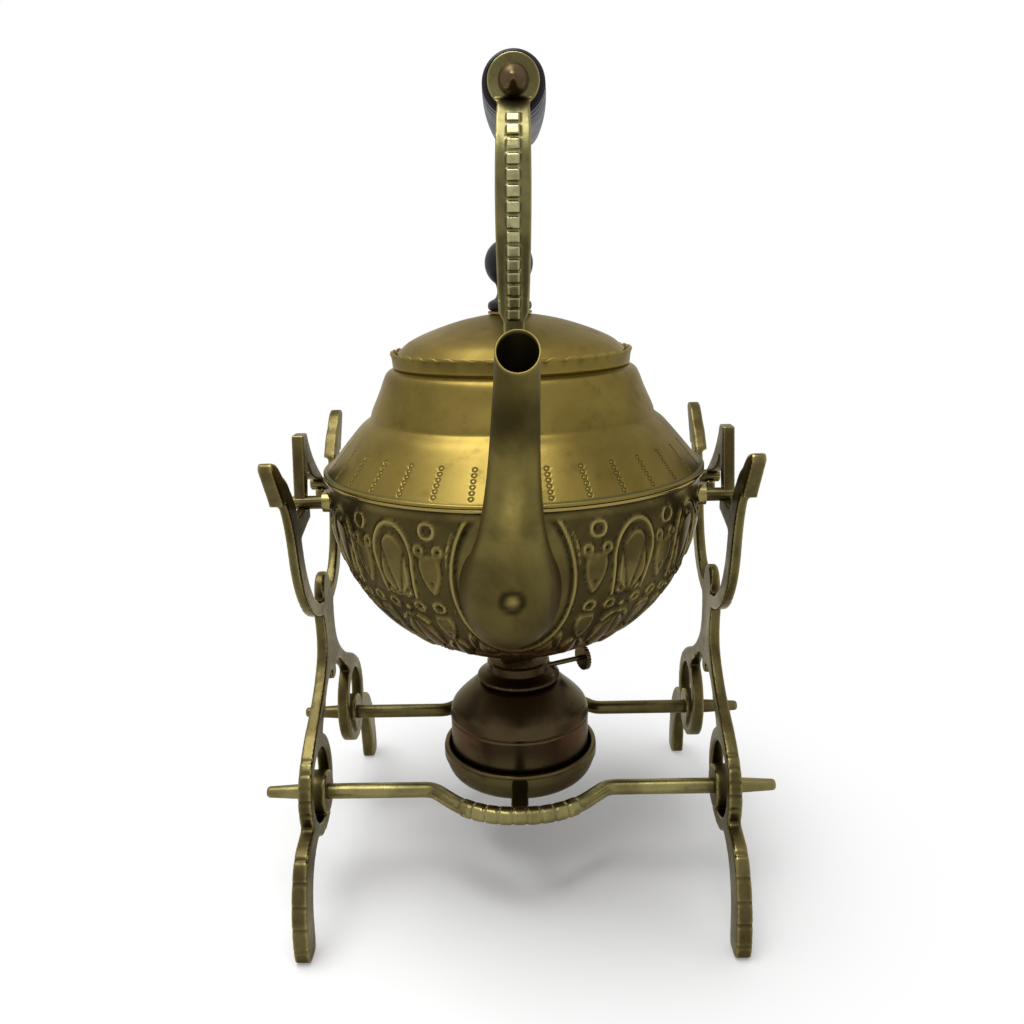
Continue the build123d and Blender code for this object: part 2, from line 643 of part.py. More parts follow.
with BuildPart() as rear_finial:
    add(finial_blank.part.moved(handle_place))
    add(handle_rod.part, mode=Mode.SUBTRACT)
PARTS["rear_finial"] = rear_finial

with BuildPart() as front_finial:
    mirror(rear_finial.part, about=Plane.XZ)
PARTS["front_finial"] = front_finial

# ---------------------------------------------------------------- pins and side brackets


def pin_pair(pin_y):
    """A pin on each side of the bowl, with a collar where it is soldered to the wall."""
    with BuildPart() as pair:
        for side in (-1, 1):
            with Locations(Plane(origin=(0, pin_y, PIN_Z), x_dir=(0, 1, 0), z_dir=(side, 0, 0))):
                Cylinder(PIN_R, PIN_END_X, align=(Align.CENTER, Align.CENTER, Align.MIN))
                Cylinder(PIN_COLLAR_R, bowl_wall_x(pin_y) + PIN_COLLAR_T,
                         align=(Align.CENTER, Align.CENTER, Align.MIN))
        chamfer(pair.faces().filter_by(Plane.YZ).group_by(Axis.X)[0].edges(), 0.5)
        chamfer(pair.faces().filter_by(Plane.YZ).group_by(Axis.X)[-1].edges(), 0.5)
        add(bowl_solid.part, mode=Mode.SUBTRACT)
    return pair


def bowl_wall_x(y):
    return sqrt(BOWL_R ** 2 - y ** 2)


front_pivot_pins = pin_pair(FRONT_PIN_Y)
PARTS["front_pivot_pins"] = front_pivot_pins
rear_rest_pins = pin_pair(REAR_PIN_Y)
PARTS["rear_rest_pins"] = rear_rest_pins

LEG_HALF = 2.1
bracket_top_z = PIN_Z + BRACKET_H
with BuildPart() as pivot_bracket_right:
    with BuildSketch(Plane.YZ.offset(BRACKET_X)):
        with BuildLine():
            front_leg = Polyline((FRONT_PIN_Y + LEG_HALF, PIN_Z), (FRONT_PIN_Y - LEG_HALF, PIN_Z),
                                 (FRONT_PIN_Y + 1.9, bracket_top_z), (FRONT_PIN_Y + 8.4, bracket_top_z))
            outer = Spline(front_leg @ 1, (FRONT_PIN_Y + 19.5, PIN_Z + 10.1), (REAR_PIN_Y + LEG_HALF, PIN_Z + 1.0),
                           tangents=[(0.45, -1), (1, -0.62)])
            rear_leg = Polyline(outer @ 1, (REAR_PIN_Y + LEG_HALF, PIN_Z), (REAR_PIN_Y - LEG_HALF, PIN_Z),
                                (REAR_PIN_Y - LEG_HALF, PIN_Z + 2.0))
            inner = Spline(rear_leg @ 1, (FRONT_PIN_Y + 13.5, PIN_Z + 6.1), (FRONT_PIN_Y + 6.0, PIN_Z + 14.0),
                           tangents=[(-1, 0.4), (-0.5, 1)])
            Line(inner @ 1, front_leg @ 0)
        make_face()
    extrude(amount=BRACKET_T)
    add(front_pivot_pins.part, mode=Mode.SUBTRACT)
    add(rear_rest_pins.part, mode=Mode.SUBTRACT)
PARTS["pivot_bracket_right"] = pivot_bracket_right
with BuildPart() as pivot_bracket_left:
    mirror(pivot_bracket_right.part, about=Plane.YZ)
PARTS["pivot_bracket_left"] = pivot_bracket_left

# ---------------------------------------------------------------- stand: side frames


TIP_Z = PIN_Z + 6.5             # foot of a horn's flared tip
BUD_HALF = 6.4                  # bud at the bottom of the fork
BUD_H = 9.4


def ring_point(angle, radius=RING_R):
    """Point on the ring of the rear half of a side frame, angles from +Y towards +Z."""
    return (RING_Y + radius * cos(radians(angle)), RING_Z + radius * sin(radians(angle)))


def frame_half():
    """Side view of the rear half of a side frame, drawn with Y to the right and Z up."""
    with BuildSketch() as half:
        # bowed foot
        with BuildLine():
            shin = Spline(ring_point(-24), (64.0, 35.6), (71.0, 27.3), (74.6, 17.0), (FOOT_REACH, 7.5), (74.6, 1.6),
                          tangents=[(1, -0.35), (-0.35, -1)])
            toe = ThreePointArc(shin @ 1, (73.6, 0.45), (72.2, 0.0))
            sole = Line(toe @ 1, (67.6, 0.0))
            heel = ThreePointArc(sole @ 1, (66.2, 0.5), (65.4, 1.8))
            calf = Spline(heel @ 1, (64.3, 11.0), (61.8, 20.3), (56.0, 28.2), ring_point(-52),
                          tangents=[(-0.3, 1), (-1, 0.4)])
            Line(calf @ 1, shin @ 0)
        make_face()
        # ring
        with Locations((RING_Y, RING_Z)):
            Circle(RING_R)
        # arm to the stem, stem and horn with its flared tip
        with BuildLine():
            crotch = Polyline((0, 72.4), (2.6, 73.4))
            bud_side = ThreePointArc(crotch @ 1, (3.6, 75.2), (3.2, 77.2))
            under = Spline(bud_side @ 1, (9.0, 77.0), (15.5, 73.6), (21.6, 68.6), ring_point(117),
                           tangents=[(0.8, 0.5), (0.6, -1)])
            through = Line(under @ 1, ring_point(56))
            over = Spline(through @ 1, (38.0, 67.0), (26.4, 72.5), (15.8, 79.8), (10.0, 86.6), (8.3, 93.0), (9.4, FORK_Z - 4.6),
                          tangents=[(-0.83, 0.56), (0.25, 1)])
            horn_out = Spline(over @ 1, (18.0, FORK_Z - 2.0), (26.5, FORK_Z + 3.4), (33.8, FORK_Z + 12.0),
                              (38.2, PIN_Z - 18.5), (40.0, PIN_Z - 8.5), (42.8, PIN_Z), (46.4, TIP_Z),
                              tangents=[(1, 0.1), (0.5, 0.85)])
            collar = Polyline(horn_out @ 1, (49.2, TIP_Z - 0.6), (50.4, TIP_Z + 1.6), (55.2, TIP_Z + 8.4),
                              (58.6, TIP_Z + 13.3))
            crown = ThreePointArc(collar @ 1, (58.2, TIP_Z + 15.4), (56.0, TIP_Z + 15.6))
            bump = Spline(crown @ 1, (50.4, TIP_Z + 12.9), (46.4, TIP_Z + 9.4), (43.2, TIP_Z + 7.4),
                          (38.6, TIP_Z + 2.6), (35.0, TIP_Z - 2.4), tangents=[(-1, -0.2), (-0.4, -1)])
            horn_in = Spline(bump @ 1, (31.4, PIN_Z - 5.5), (29.6, PIN_Z - 16.5), (26.8, FORK_Z + 16.4),
                             (21.4, FORK_Z + 8.0), (13.8, FORK_Z + 1.8), (BUD_HALF, FORK_Z),
                             tangents=[(-0.4, -1), (-1, -0.1)])
            bud = Line(horn_in @ 1, (BUD_HALF, FORK_Z + 3.4))
            bud_top = ThreePointArc(bud @ 1, (BUD_HALF - 2.0, FORK_Z + 7.8), (0, FORK_Z + BUD_H))
            Line(bud_top @ 1, crotch @ 0)
        make_face()
        with Locations((RING_Y, RING_Z)):
            Circle(RING_HOLE_R, mode=Mode.SUBTRACT)
        # cuts across the outer edge of the ring and down the foot
        notches = [ring_point(angle, RING_R + NOTCH_OUT) for angle in RING_NOTCH_ANGLES]
        notches += [(point.X + NOTCH_OUT, point.Y) for point in (shin @ share for share in FOOT_NOTCH_SHARES)]
        with Locations(*notches):
            Circle(NOTCH_R, mode=Mode.SUBTRACT)
    return half.sketch


frame_side = frame_half()


HORN_MID_Y = 36.0               # middle of a horn at the height of the pins


def tongue(pin_y):
    """Side view of the tongue that carries a pin, from the horn inwards."""
    towards = 1 if pin_y > 0 else -1
    tip_y = pin_y - towards * TONGUE_LIP
    top_z = PIN_Z - TONGUE_DROP
    with BuildSketch() as shape:
        with BuildLine():
            Polyline((towards * HORN_MID_Y, top_z - 0.6), (tip_y, top_z), (tip_y, top_z - TONGUE_T),
                     (tip_y + towards * 5.0, top_z - TONGUE_T - 1.0),
                     (towards * (HORN_MID_Y - 5.0), top_z - TONGUE_T - 3.8),
                     (towards * (HORN_MID_Y - 4.0), top_z - TONGUE_T - 6.8),
                     (towards * HORN_MID_Y, top_z - TONGUE_T - 4.8), close=True)
        make_face()
        with Locations((pin_y, PIN_Z)):
            Circle(PIN_R + TURN_CLEARANCE, mode=Mode.SUBTRACT)
    return shape.sketch


FRAME_TOP_Z = PIN_Z + 30.5
slope_in = (FRAME_HORN_X - FRAME_FOOT_X) / PIN_Z
slope_out = (FRAME_HORN_X + FRAME_HORN_T - FRAME_FOOT_X - FRAME_FOOT_T) / PIN_Z
FRAME_TOP_IN_X = FRAME_FOOT_X + slope_in * FRAME_TOP_Z
FRAME_TOP_OUT_X = FRAME_FOOT_X + FRAME_FOOT_T + slope_out * FRAME_TOP_Z

with BuildSketch() as tip_shape:
    add(frame_side)
    with Locations((0, TIP_Z - 1.2)):
        Rectangle(FOOT_REACH, FRAME_TOP_Z - TIP_Z, align=(Align.MIN, Align.MIN), mode=Mode.INTERSECT)
tip_side = tip_shape.sketch



def side_frame(side):
    """A cast side frame, on the right for side 1 and on the left for side -1."""
    with BuildPart() as frame:
        with BuildSketch(Plane.YZ):
            add(frame_side)
            mirror(frame_side, about=Plane.YZ)
            add(tongue(FRONT_PIN_Y))
            add(tongue(REAR_PIN_Y))
        extrude(amount=side * ROD_END_X)
        # end view: the casting thins from the foot to the horns
        with BuildSketch(Plane.XZ):
            with BuildLine():
                Polyline((side * FRAME_FOOT_X, 0), (side * (FRAME_FOOT_X + FRAME_FOOT_T), 0),
                         (side * FRAME_TOP_OUT_X, FRAME_TOP_Z), (side * FRAME_TOP_IN_X, FRAME_TOP_Z), close=True)
            make_face()
        extrude(amount=ROD_END_X, both=True, mode=Mode.INTERSECT)
        # flared tips, thicker than the horns
        with BuildSketch(Plane.YZ.offset(side * TIP_X)):
            add(tip_side)
            mirror(tip_side, about=Plane.YZ)
        extrude(amount=side * TIP_T)
        # bosses for the rods
        with BuildSketch(Plane.YZ.offset(side * (FRAME_FOOT_X - BOSS_PROUD))):
            with Locations((ROD_Y, ROD_Z), (-ROD_Y, ROD_Z)):
                Circle(BOSS_R)
        extrude(amount=side * (FRAME_FOOT_T + 2 * BOSS_PROUD))
        with BuildSketch(Plane.YZ):
            with Locations((ROD_Y, ROD_Z), (-ROD_Y, ROD_Z)):
                Circle(ROD_R)
        extrude(amount=side * ROD_END_X, mode=Mode.SUBTRACT)
    return frame


side_frame_right = side_frame(1)
PARTS["side_frame_right"] = side_frame_right
side_frame_left = side_frame(-1)
PARTS["side_frame_left"] = side_frame_left

# ---------------------------------------------------------------- stand: rods and cup

bow_corners = [(-BOW_START_X, -ROD_Y), (-BOW_MID_X, -BOW_REACH), (BOW_MID_X, -BOW_REACH), (BOW_START_X, -ROD_Y)]

with BuildLine(Plane.XY.offset(ROD_Z)) as rod_route:
    FilletPolyline((ROD_TAPER - ROD_END_X, -ROD_Y), *bow_corners, (ROD_END_X - ROD_TAPER, -ROD_Y),
                   radius=[BOW_BEND_R, BOW_ROUND_R, BOW_ROUND_R, BOW_BEND_R])
rod_wire = rod_route.wires()[0]

bead_planes = []
for number in range(ROD_BEAD_COUNT):
    share = 0.5 + ROD_BEAD_PITCH * (number - (ROD_BEAD_COUNT - 1) / 2) / rod_wire.length
    bead_planes.append(Plane(origin=rod_wire @ share, z_dir=rod_wire % share))

with BuildPart() as rod_bead:
    Cylinder(ROD_BEAD_R, ROD_BEAD_L)
    fillet(rod_bead.edges().filter_by(GeomType.CIRCLE), ROD_BEAD_ROUND)

with BuildPart() as front_rod:
    with BuildSketch(Plane(origin=rod_wire @ 0, z_dir=rod_wire % 0)):
        Circle(ROD_R)
    sweep(path=rod_wire)
    for side in (-1, 1):
        taper_start = Plane(origin=(side * (ROD_END_X - ROD_TAPER), -ROD_Y, ROD_Z), x_dir=(0, 1, 0), z_dir=(side, 0, 0))
        tip_start = taper_start.offset(ROD_TAPER - ROD_TIP_ROUND)
        with BuildSketch(taper_start):
            Circle(ROD_R)
        with BuildSketch(tip_start):
            Circle(ROD_TIP_R)
        loft()
        with BuildSketch(tip_start):
            Circle(ROD_TIP_R)
        extrude(amount=ROD_TIP_ROUND, taper=35)
    with Locations(*bead_planes):
        add(rod_bead.part)
PARTS["front_rod"] = front_rod

with BuildPart() as rear_rod:
    add(front_rod.part.mirror(Plane.XZ))
PARTS["rear_rod"] = rear_rod


def cup_outline(inset):
    """Half section of the cup, closed on the axis."""
    floor_z = CUP_BOTTOM_Z + inset
    with BuildLine() as outline:
        floor = Line((0, floor_z), (CUP_FLAT_R - 0.6 * inset, floor_z))
        side = Spline(floor @ 1, (CUP_R - 3.1 - 0.9 * inset, floor_z + 4.0), (CUP_R - inset, CUP_TOP_Z - 4.5),
                      tangents=[(1, 0.12), (0, 1)])
        Polyline(side @ 1, (CUP_R - inset, CUP_TOP_Z), (0, CUP_TOP_Z), floor @ 0)
    return outline.line


with BuildPart() as cup_solid:
    with BuildSketch(Plane.XZ):
        with BuildLine():
            add(cup_outline(0.0))
        make_face()
    revolve(axis=Axis.Z)

with BuildPart() as burner_cup:
    add(cup_solid.part)
    with BuildSketch(Plane.XZ):
        with BuildLine():
            add(cup_outline(CUP_WALL))
        make_face()
    revolve(axis=Axis.Z, mode=Mode.SUBTRACT)
    fillet(burner_cup.edges().filter_by(GeomType.CIRCLE).group_by(Axis.Z)[-1], CUP_RIM_ROUND)
PARTS["burner_cup"] = burner_cup

with BuildPart() as front_cup_arm:
    with BuildSketch(Plane.YZ):
        with BuildLine():
            Polyline((-BOW_REACH, ROD_Z - CUP_ARM_T / 2), (-BOW_REACH, ROD_Z + CUP_ARM_T / 2),
                     (-CUP_FLAT_R, ROD_Z + CUP_ARM_T / 2 - 1.0), (-CUP_FLAT_R, ROD_Z - CUP_ARM_T / 2 - 2.5), close=True)
        make_face()
    extrude(amount=CUP_ARM_W / 2, both=True)
    add(front_rod.part, mode=Mode.SUBTRACT)
    add(cup_solid.part, mode=Mode.SUBTRACT)
PARTS["front_cup_arm"] = front_cup_arm

with BuildPart() as rear_cup_arm:
    add(front_cup_arm.part.mirror(Plane.XZ))
PARTS["rear_cup_arm"] = rear_cup_arm

# ---------------------------------------------------------------- burner


def font_outline(inset):
    """Half section of the burner's reservoir, closed on the axis."""
    floor_z = FONT_BOTTOM_Z + inset
    with BuildLine() as outline:
        floor = Line((0, floor_z), (CUP_FLAT_R - 3.0 - 0.6 * inset, floor_z))
        heel = Spline(floor @ 1, (FONT_R - 3.2 - 0.9 * inset, floor_z + 4.4), (FONT_R - inset, CUP_TOP_Z - 2.0),
                      tangents=[(1, 0.12), (0, 1)])
        side = Line(heel @ 1, (FONT_R - inset, FONT_SIDE_Z))
        dome = Spline(side @ 1, (FONT_R - 3.3 - 0.8 * inset, FONT_SIDE_Z + 7.4 - 0.5 * inset),
                      (FONT_TOP_R - 0.5 * inset, FONT_TOP_Z - inset), tangents=[(0, 1), (-1, 0.62)])
        Polyline(dome @ 1, (0, FONT_TOP_Z - inset), floor @ 0)
    return outline.line


with BuildPart() as font_shell:
    with BuildSketch(Plane.XZ):
        with BuildLine():
            add(font_outline(0.0))
        make_face()
    revolve(axis=Axis.Z)
    with BuildSketch(Plane.XZ):
        with BuildLine():
            add(font_outline(FONT_WALL))
        make_face()
    revolve(axis=Axis.Z, mode=Mode.SUBTRACT)
    with Locations((0, 0, FONT_TOP_Z)):
        Cylinder(FONT_MOUTH_R, 4 * FONT_WALL, mode=Mode.SUBTRACT)

# the reservoir is a deep pressed pan with a domed shoulder soldered on its edge
font_seam = Plane.XY.offset(FONT_SIDE_Z)
with BuildPart() as burner_font:
    add(font_shell.part)
    split(bisect_by=font_seam, keep=Keep.BOTTOM)
PARTS["burner_font"] = burner_font

with BuildPart() as burner_shoulder:
    add(font_shell.part)
    split(bisect_by=font_seam, keep=Keep.TOP)
PARTS["burner_shoulder"] = burner_shoulder

# the winder's shaft lies beside the wick, so that its toothed wheel bites the wick's face
winder_dir = Vector(cos(radians(WINDER_ANGLE)), sin(radians(WINDER_ANGLE)), 0)
wick_normal = Vector(-sin(radians(WINDER_ANGLE)), cos(radians(WINDER_ANGLE)), 0)
WINDER_OFFSET = WICK_T / 2 + WICK_PLAY + FEED_WHEEL_R
winder_middle = wick_normal * -WINDER_OFFSET + Vector(0, 0, WINDER_Z)
wick_plane = Plane(origin=(0, 0, 0), x_dir=winder_dir, z_dir=(0, 0, 1))


def winder_plane(distance):
    return Plane(origin=winder_middle + winder_dir * distance, x_dir=(0, 0, 1), z_dir=winder_dir)


TUBE_HALF_W = WICK_W / 2 + WICK_PLAY + TUBE_WALL
TUBE_HALF_T = WICK_T / 2 + WICK_PLAY + TUBE_WALL

with BuildPart() as burner_collar:
    with BuildSketch(Plane.XZ):
        with BuildLine():
            base = Line((COLLAR_R - FONT_WALL, FONT_TOP_Z), (COLLAR_RING_R - 1.2, FONT_TOP_Z))
            ring = Spline(base @ 1, (COLLAR_RING_R, FONT_TOP_Z + 0.38 * COLLAR_RING_H),
                          (COLLAR_R, FONT_TOP_Z + COLLAR_RING_H), tangents=[(0.7, 0.7), (-0.75, 0.65)])
            Polyline(ring @ 1, (COLLAR_R, COLLAR_TOP_Z - 0.8), (COLLAR_R - 0.8, COLLAR_TOP_Z), (0, COLLAR_TOP_Z),
                     (0, COLLAR_TOP_Z - FONT_WALL), (COLLAR_R - FONT_WALL, COLLAR_TOP_Z - FONT_WALL), base @ 0)
        make_face()
    revolve(axis=Axis.Z)
    with BuildSketch(wick_plane.offset(COLLAR_TOP_Z - 3.0)):
        Rectangle(2 * TUBE_HALF_W, 2 * TUBE_HALF_T)
    extrude(amount=6.0, mode=Mode.SUBTRACT)
    with BuildSketch(winder_plane(0)):
        Circle(WINDER_R + TURN_CLEARANCE)
    extrude(amount=2 * COLLAR_R, mode=Mode.SUBTRACT)
PARTS["burner_collar"] = burner_collar

with BuildPart() as wick_tube:
    with BuildSketch(wick_plane.offset(TUBE_TOP_Z - TUBE_LENGTH)):
        Rectangle(2 * TUBE_HALF_W, 2 * TUBE_HALF_T)
        Rectangle(WICK_W + 2 * WICK_PLAY, WICK_T + 2 * WICK_PLAY, mode=Mode.SUBTRACT)
    extrude(amount=TUBE_LENGTH)
    # window for the toothed wheel
    with BuildSketch(winder_plane(-FEED_WHEEL_T / 2 - LOOSE_CLEARANCE)):
        Circle(FEED_WHEEL_R + LOOSE_CLEARANCE)
    extrude(amount=FEED_WHEEL_T + 2 * LOOSE_CLEARANCE, mode=Mode.SUBTRACT)
PARTS["wick_tube"] = wick_tube

with BuildPart() as wick:
    with BuildSketch(wick_plane.offset(WICK_TOP_Z - WICK_LENGTH)):
        Rectangle(WICK_W, WICK_T)
    extrude(amount=WICK_LENGTH)
PARTS["wick"] = wick

SHAFT_START = -FEED_WHEEL_T / 2 - 1.5
with BuildPart() as winder_shaft:
    with BuildSketch(winder_plane(SHAFT_START)):
        Circle(WINDER_R)
    extrude(amount=THUMB_WHEEL_AT + THUMB_WHEEL_T - SHAFT_START)
PARTS["winder_shaft"] = winder_shaft

with BuildPart() as feed_wheel:
    with BuildSketch(winder_plane(-FEED_WHEEL_T / 2)):
        Circle(FEED_WHEEL_R)
        with PolarLocations(FEED_WHEEL_R, FEED_TEETH):
            Circle(TOOTH_R, mode=Mode.SUBTRACT)
        Circle(WINDER_R, mode=Mode.SUBTRACT)
    extrude(amount=FEED_WHEEL_T)
PARTS["feed_wheel"] = feed_wheel

with BuildPart() as thumb_wheel:
    with BuildSketch(winder_plane(THUMB_WHEEL_AT)):
        Circle(THUMB_WHEEL_R)
        with PolarLocations(THUMB_WHEEL_R + 0.2, 24):
            Circle(TOOTH_R, mode=Mode.SUBTRACT)
        Circle(WINDER_R, mode=Mode.SUBTRACT)
    extrude(amount=THUMB_WHEEL_T)
PARTS["thumb_wheel"] = thumb_wheel

# ---------------------------------------------------------------- hand over

boxes = [piece.part.bounding_box() for piece in PARTS.values()]
middle_y = (min(box.min.Y for box in boxes) + max(box.max.Y for box in boxes)) / 2
print(f"kettle axis at y = {-middle_y:.3f}")

for name, piece in PARTS.items():
    piece.part.move(Location((0, -middle_y, 0)))
    piece.part.label = name
    export_step(piece.part, f"parts/{name}.step")
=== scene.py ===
import math

import bmesh
import bpy
import numpy as np
from mathutils import Matrix, Vector


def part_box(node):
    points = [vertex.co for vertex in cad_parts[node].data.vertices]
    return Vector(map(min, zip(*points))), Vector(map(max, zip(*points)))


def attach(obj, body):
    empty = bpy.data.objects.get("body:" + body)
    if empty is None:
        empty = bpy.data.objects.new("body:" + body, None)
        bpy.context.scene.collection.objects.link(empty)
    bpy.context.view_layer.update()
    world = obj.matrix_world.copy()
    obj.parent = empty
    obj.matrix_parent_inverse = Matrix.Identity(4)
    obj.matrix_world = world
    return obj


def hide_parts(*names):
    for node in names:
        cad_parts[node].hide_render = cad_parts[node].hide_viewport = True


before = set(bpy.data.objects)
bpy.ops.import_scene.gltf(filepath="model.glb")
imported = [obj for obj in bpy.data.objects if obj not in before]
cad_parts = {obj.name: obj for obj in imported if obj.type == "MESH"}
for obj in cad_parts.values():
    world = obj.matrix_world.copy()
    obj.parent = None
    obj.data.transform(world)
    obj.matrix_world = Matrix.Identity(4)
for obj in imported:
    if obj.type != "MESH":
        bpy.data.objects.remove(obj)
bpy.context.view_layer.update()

# ---------------------------------------------------------------- side frames
# Two openwork castings in yellow brass, fettled by hand: flat faces, worn corners, file cuts round the
# rings and down the feet. They carry the rods in their rings and the kettle's pins in their tongues.

MM = 0.001
FRAME_CELL = 0.55 * MM
FRAME_WEAR = 8


def put(tree, kind, inputs, **settings):
    """New node with its settings. Each input is another node's output, which is linked to it, or a value,
    which is set on it."""
    made = tree.nodes.new(kind)
    for name, value in settings.items():
        setattr(made, name, value)
    for socket, value in inputs.items():
        if isinstance(value, bpy.types.NodeSocket):
            tree.links.new(value, made.inputs[socket])
        else:
            made.inputs[socket].default_value = value
    return made


def weathered(name, bright, dull, grime_and_shade, gloss=0.3, patch=30.0, dirt=0.35, attribute_dirt_and_shade=False, edges=0.5, wear_and_highlight_gain=1.6,
              flush_and_highlight=None, metal=1.0, shine=0.5, sheen=(0.8, 0.76, 0.66)):
    """Brass or wood that has darkened unevenly. Patches go from the bright to the dull colour, fine grime
    sits in specks, and the hollows take the same dark colour, partly as dirt and partly as painted shade.
    Convex edges are painted bright, partly as wear and partly as a painted highlight: a gain says how much
    brighter and edges how surely. With the attribute flag, the dark colour also lies where the point
    attribute for dirt and shade is 1: dirt on the bowl, dirt and painted shade in the shoulder's rings,
    and painted shade on the outside of the spout and on the gallery. The flush colour is what heat,
    verdigris and hands have left where the stain attribute is 1, and on the handle's beads it is a painted
    highlight as well. gloss is the roughness of the bright patches, and sheen tints what the surface
    mirrors at a flat angle."""
    material = bpy.data.materials.new(name)
    material.use_nodes = True
    tree = material.node_tree
    tree.nodes.clear()
    place = put(tree, "ShaderNodeTexCoord", {}).outputs["Object"]
    bend = put(tree, "ShaderNodeNewGeometry", {}).outputs["Pointiness"]

    def noise(scale, detail, roughness, distortion=0.0):
        return put(tree, "ShaderNodeTexNoise", {"Vector": place, "Scale": scale, "Detail": detail,
                                                "Roughness": roughness, "Distortion": distortion}).outputs["Fac"]

    def spread(source, low, high, to_low=0.0, to_high=1.0):
        return put(tree, "ShaderNodeMapRange", {"Value": source, "From Min": low, "From Max": high,
                                                "To Min": to_low, "To Max": to_high},
                   interpolation_type="SMOOTHSTEP").outputs["Result"]

    def mixed(factor, first, second):
        first, second = ((*value, 1.0) if isinstance(value, tuple) else value for value in (first, second))
        return put(tree, "ShaderNodeMix", {"Factor": factor, "A": first, "B": second},
                   data_type="RGBA").outputs["Result"]

    def sums(operation, first, second):
        return put(tree, "ShaderNodeMath", {0: first, 1: second},
                   operation=operation, use_clamp=True).outputs["Value"]

    def drawn(attribute):
        return put(tree, "ShaderNodeAttribute", {}, attribute_name=attribute).outputs["Fac"]

    patches = noise(scale=patch, detail=5.0, roughness=0.6, distortion=0.4)
    specks = noise(scale=patch * 9.0, detail=7.0, roughness=0.7)
    grain = noise(scale=1400.0, detail=3.0, roughness=0.5)

    colour = mixed(spread(patches, 0.36, 0.64), bright, dull)
    # the flush colour: heat and verdigris, and on the handle's beads wear together with a painted highlight
    if flush_and_highlight:
        colour = mixed(sums("MULTIPLY", drawn("stain"), spread(patches, 0.3, 0.6)), colour, flush_and_highlight)
    # dark specks of grime, and hollows darkened partly as dirt and partly as painted shade; with the attribute
    # flag, the point attribute adds dirt on the bowl and painted shade on the spout and the gallery
    dirt_and_shade_share = sums("MAXIMUM", spread(specks, 0.52, 0.74, 0.0, dirt), spread(bend, 0.5, 0.44))
    if attribute_dirt_and_shade:
        dirt_and_shade_share = sums("MAXIMUM", dirt_and_shade_share, drawn("ground"))
    colour = mixed(dirt_and_shade_share, colour, grime_and_shade)
    # convex edges painted bright, partly as wear and partly as a painted highlight
    worn_and_highlit = sums("MULTIPLY", spread(bend, 0.505, 0.56), edges)
    colour = mixed(worn_and_highlit, colour, tuple(min(1.0, wear_and_highlight_gain * part) for part in bright))

    rough = sums("ADD", spread(patches, 0.3, 0.7, gloss, gloss + 0.12), sums("MULTIPLY", dirt_and_shade_share, 0.3))
    rough = sums("SUBTRACT", rough, sums("MULTIPLY", worn_and_highlit, 0.15))
    height = sums("ADD", sums("MULTIPLY", grain, 0.35), sums("MULTIPLY", specks, 0.6))
    dents = put(tree, "ShaderNodeBump", {"Strength": 0.12, "Distance": 0.3 * MM, "Height": height})
    surface = put(tree, "ShaderNodeBsdfPrincipled", {
        "Metallic": metal, "Specular IOR Level": shine, "Specular Tint": (*sheen, 1.0),
        "Base Color": colour, "Roughness": rough, "Normal": dents.outputs["Normal"]})
    put(tree, "ShaderNodeOutputMaterial", {"Surface": surface.outputs["BSDF"]})
    return material


def casting(node, cell, passes):
    """Copy of a CAD node with its corners worn round: the doubles are merged, it gets an even skin of
    the cell's size, and each pass moves every point halfway to the mean of its neighbours."""
    loose = bmesh.new()
    loose.from_mesh(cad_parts[node].data)
    bmesh.ops.remove_doubles(loose, verts=loose.verts, dist=1e-6)
    mesh = bpy.data.meshes.new(node)
    loose.to_mesh(mesh)
    loose.free()
    rough = bpy.data.objects.new(node + "_rough", mesh)
    bpy.context.scene.collection.objects.link(rough)
    skin = rough.modifiers.new("skin", "REMESH")
    skin.mode = "VOXEL"
    skin.voxel_size = cell
    wear = rough.modifiers.new("wear", "SMOOTH")
    wear.iterations = passes
    depsgraph = bpy.context.evaluated_depsgraph_get()
    worn = bpy.data.meshes.new_from_object(rough.evaluated_get(depsgraph))
    bpy.data.objects.remove(rough)
    worn.shade_smooth()
    worn.materials.clear()
    piece = bpy.data.objects.new(node + "_casting", worn)
    bpy.context.scene.collection.objects.link(piece)
    return piece


def fit(piece, material, body, node):
    """Gives a piece its material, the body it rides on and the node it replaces."""
    piece.data.materials.append(material)
    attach(piece, body)
    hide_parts(node)


CAST = weathered("cast_brass", bright=(0.108, 0.089, 0.034), dull=(0.058, 0.044, 0.017),
                 grime_and_shade=(0.014, 0.011, 0.005), gloss=0.27, patch=45.0, dirt=0.4, edges=0.9, wear_and_highlight_gain=2.6)
for side in ("side_frame_left", "side_frame_right"):
    fit(casting(side, FRAME_CELL, FRAME_WEAR), CAST, "stand", side)

# ---------------------------------------------------------------- rods between the frames
# Two cast rods through the frames' rings, bowed out round the burner, each with a row of turned beads
# on the bow. They hold the frames apart and carry the burner's arms. The front one has a brighter brass
# than the rear one, which has the frames' darker colour.

ROD_CELL = 0.35 * MM
ROD_WEAR = 4

ROD = weathered("rod_brass", bright=(0.235, 0.205, 0.082), dull=(0.135, 0.113, 0.045),
                grime_and_shade=(0.022, 0.017, 0.008), gloss=0.25, patch=45.0, dirt=0.35, edges=0.5, wear_and_highlight_gain=1.8)
for cast, brass in (("front_rod", ROD), ("rear_rod", CAST), ("front_cup_arm", CAST), ("rear_cup_arm", CAST)):
    fit(casting(cast, ROD_CELL, ROD_WEAR), brass, "stand", cast)

# ---------------------------------------------------------------- kettle's bowl
# Thin brass sheet raised over a stake and chased from outside: medallions, drops and palms stand proud
# of a dark ground. A plain oval is left round the spout, and the flame has reddened the underside.

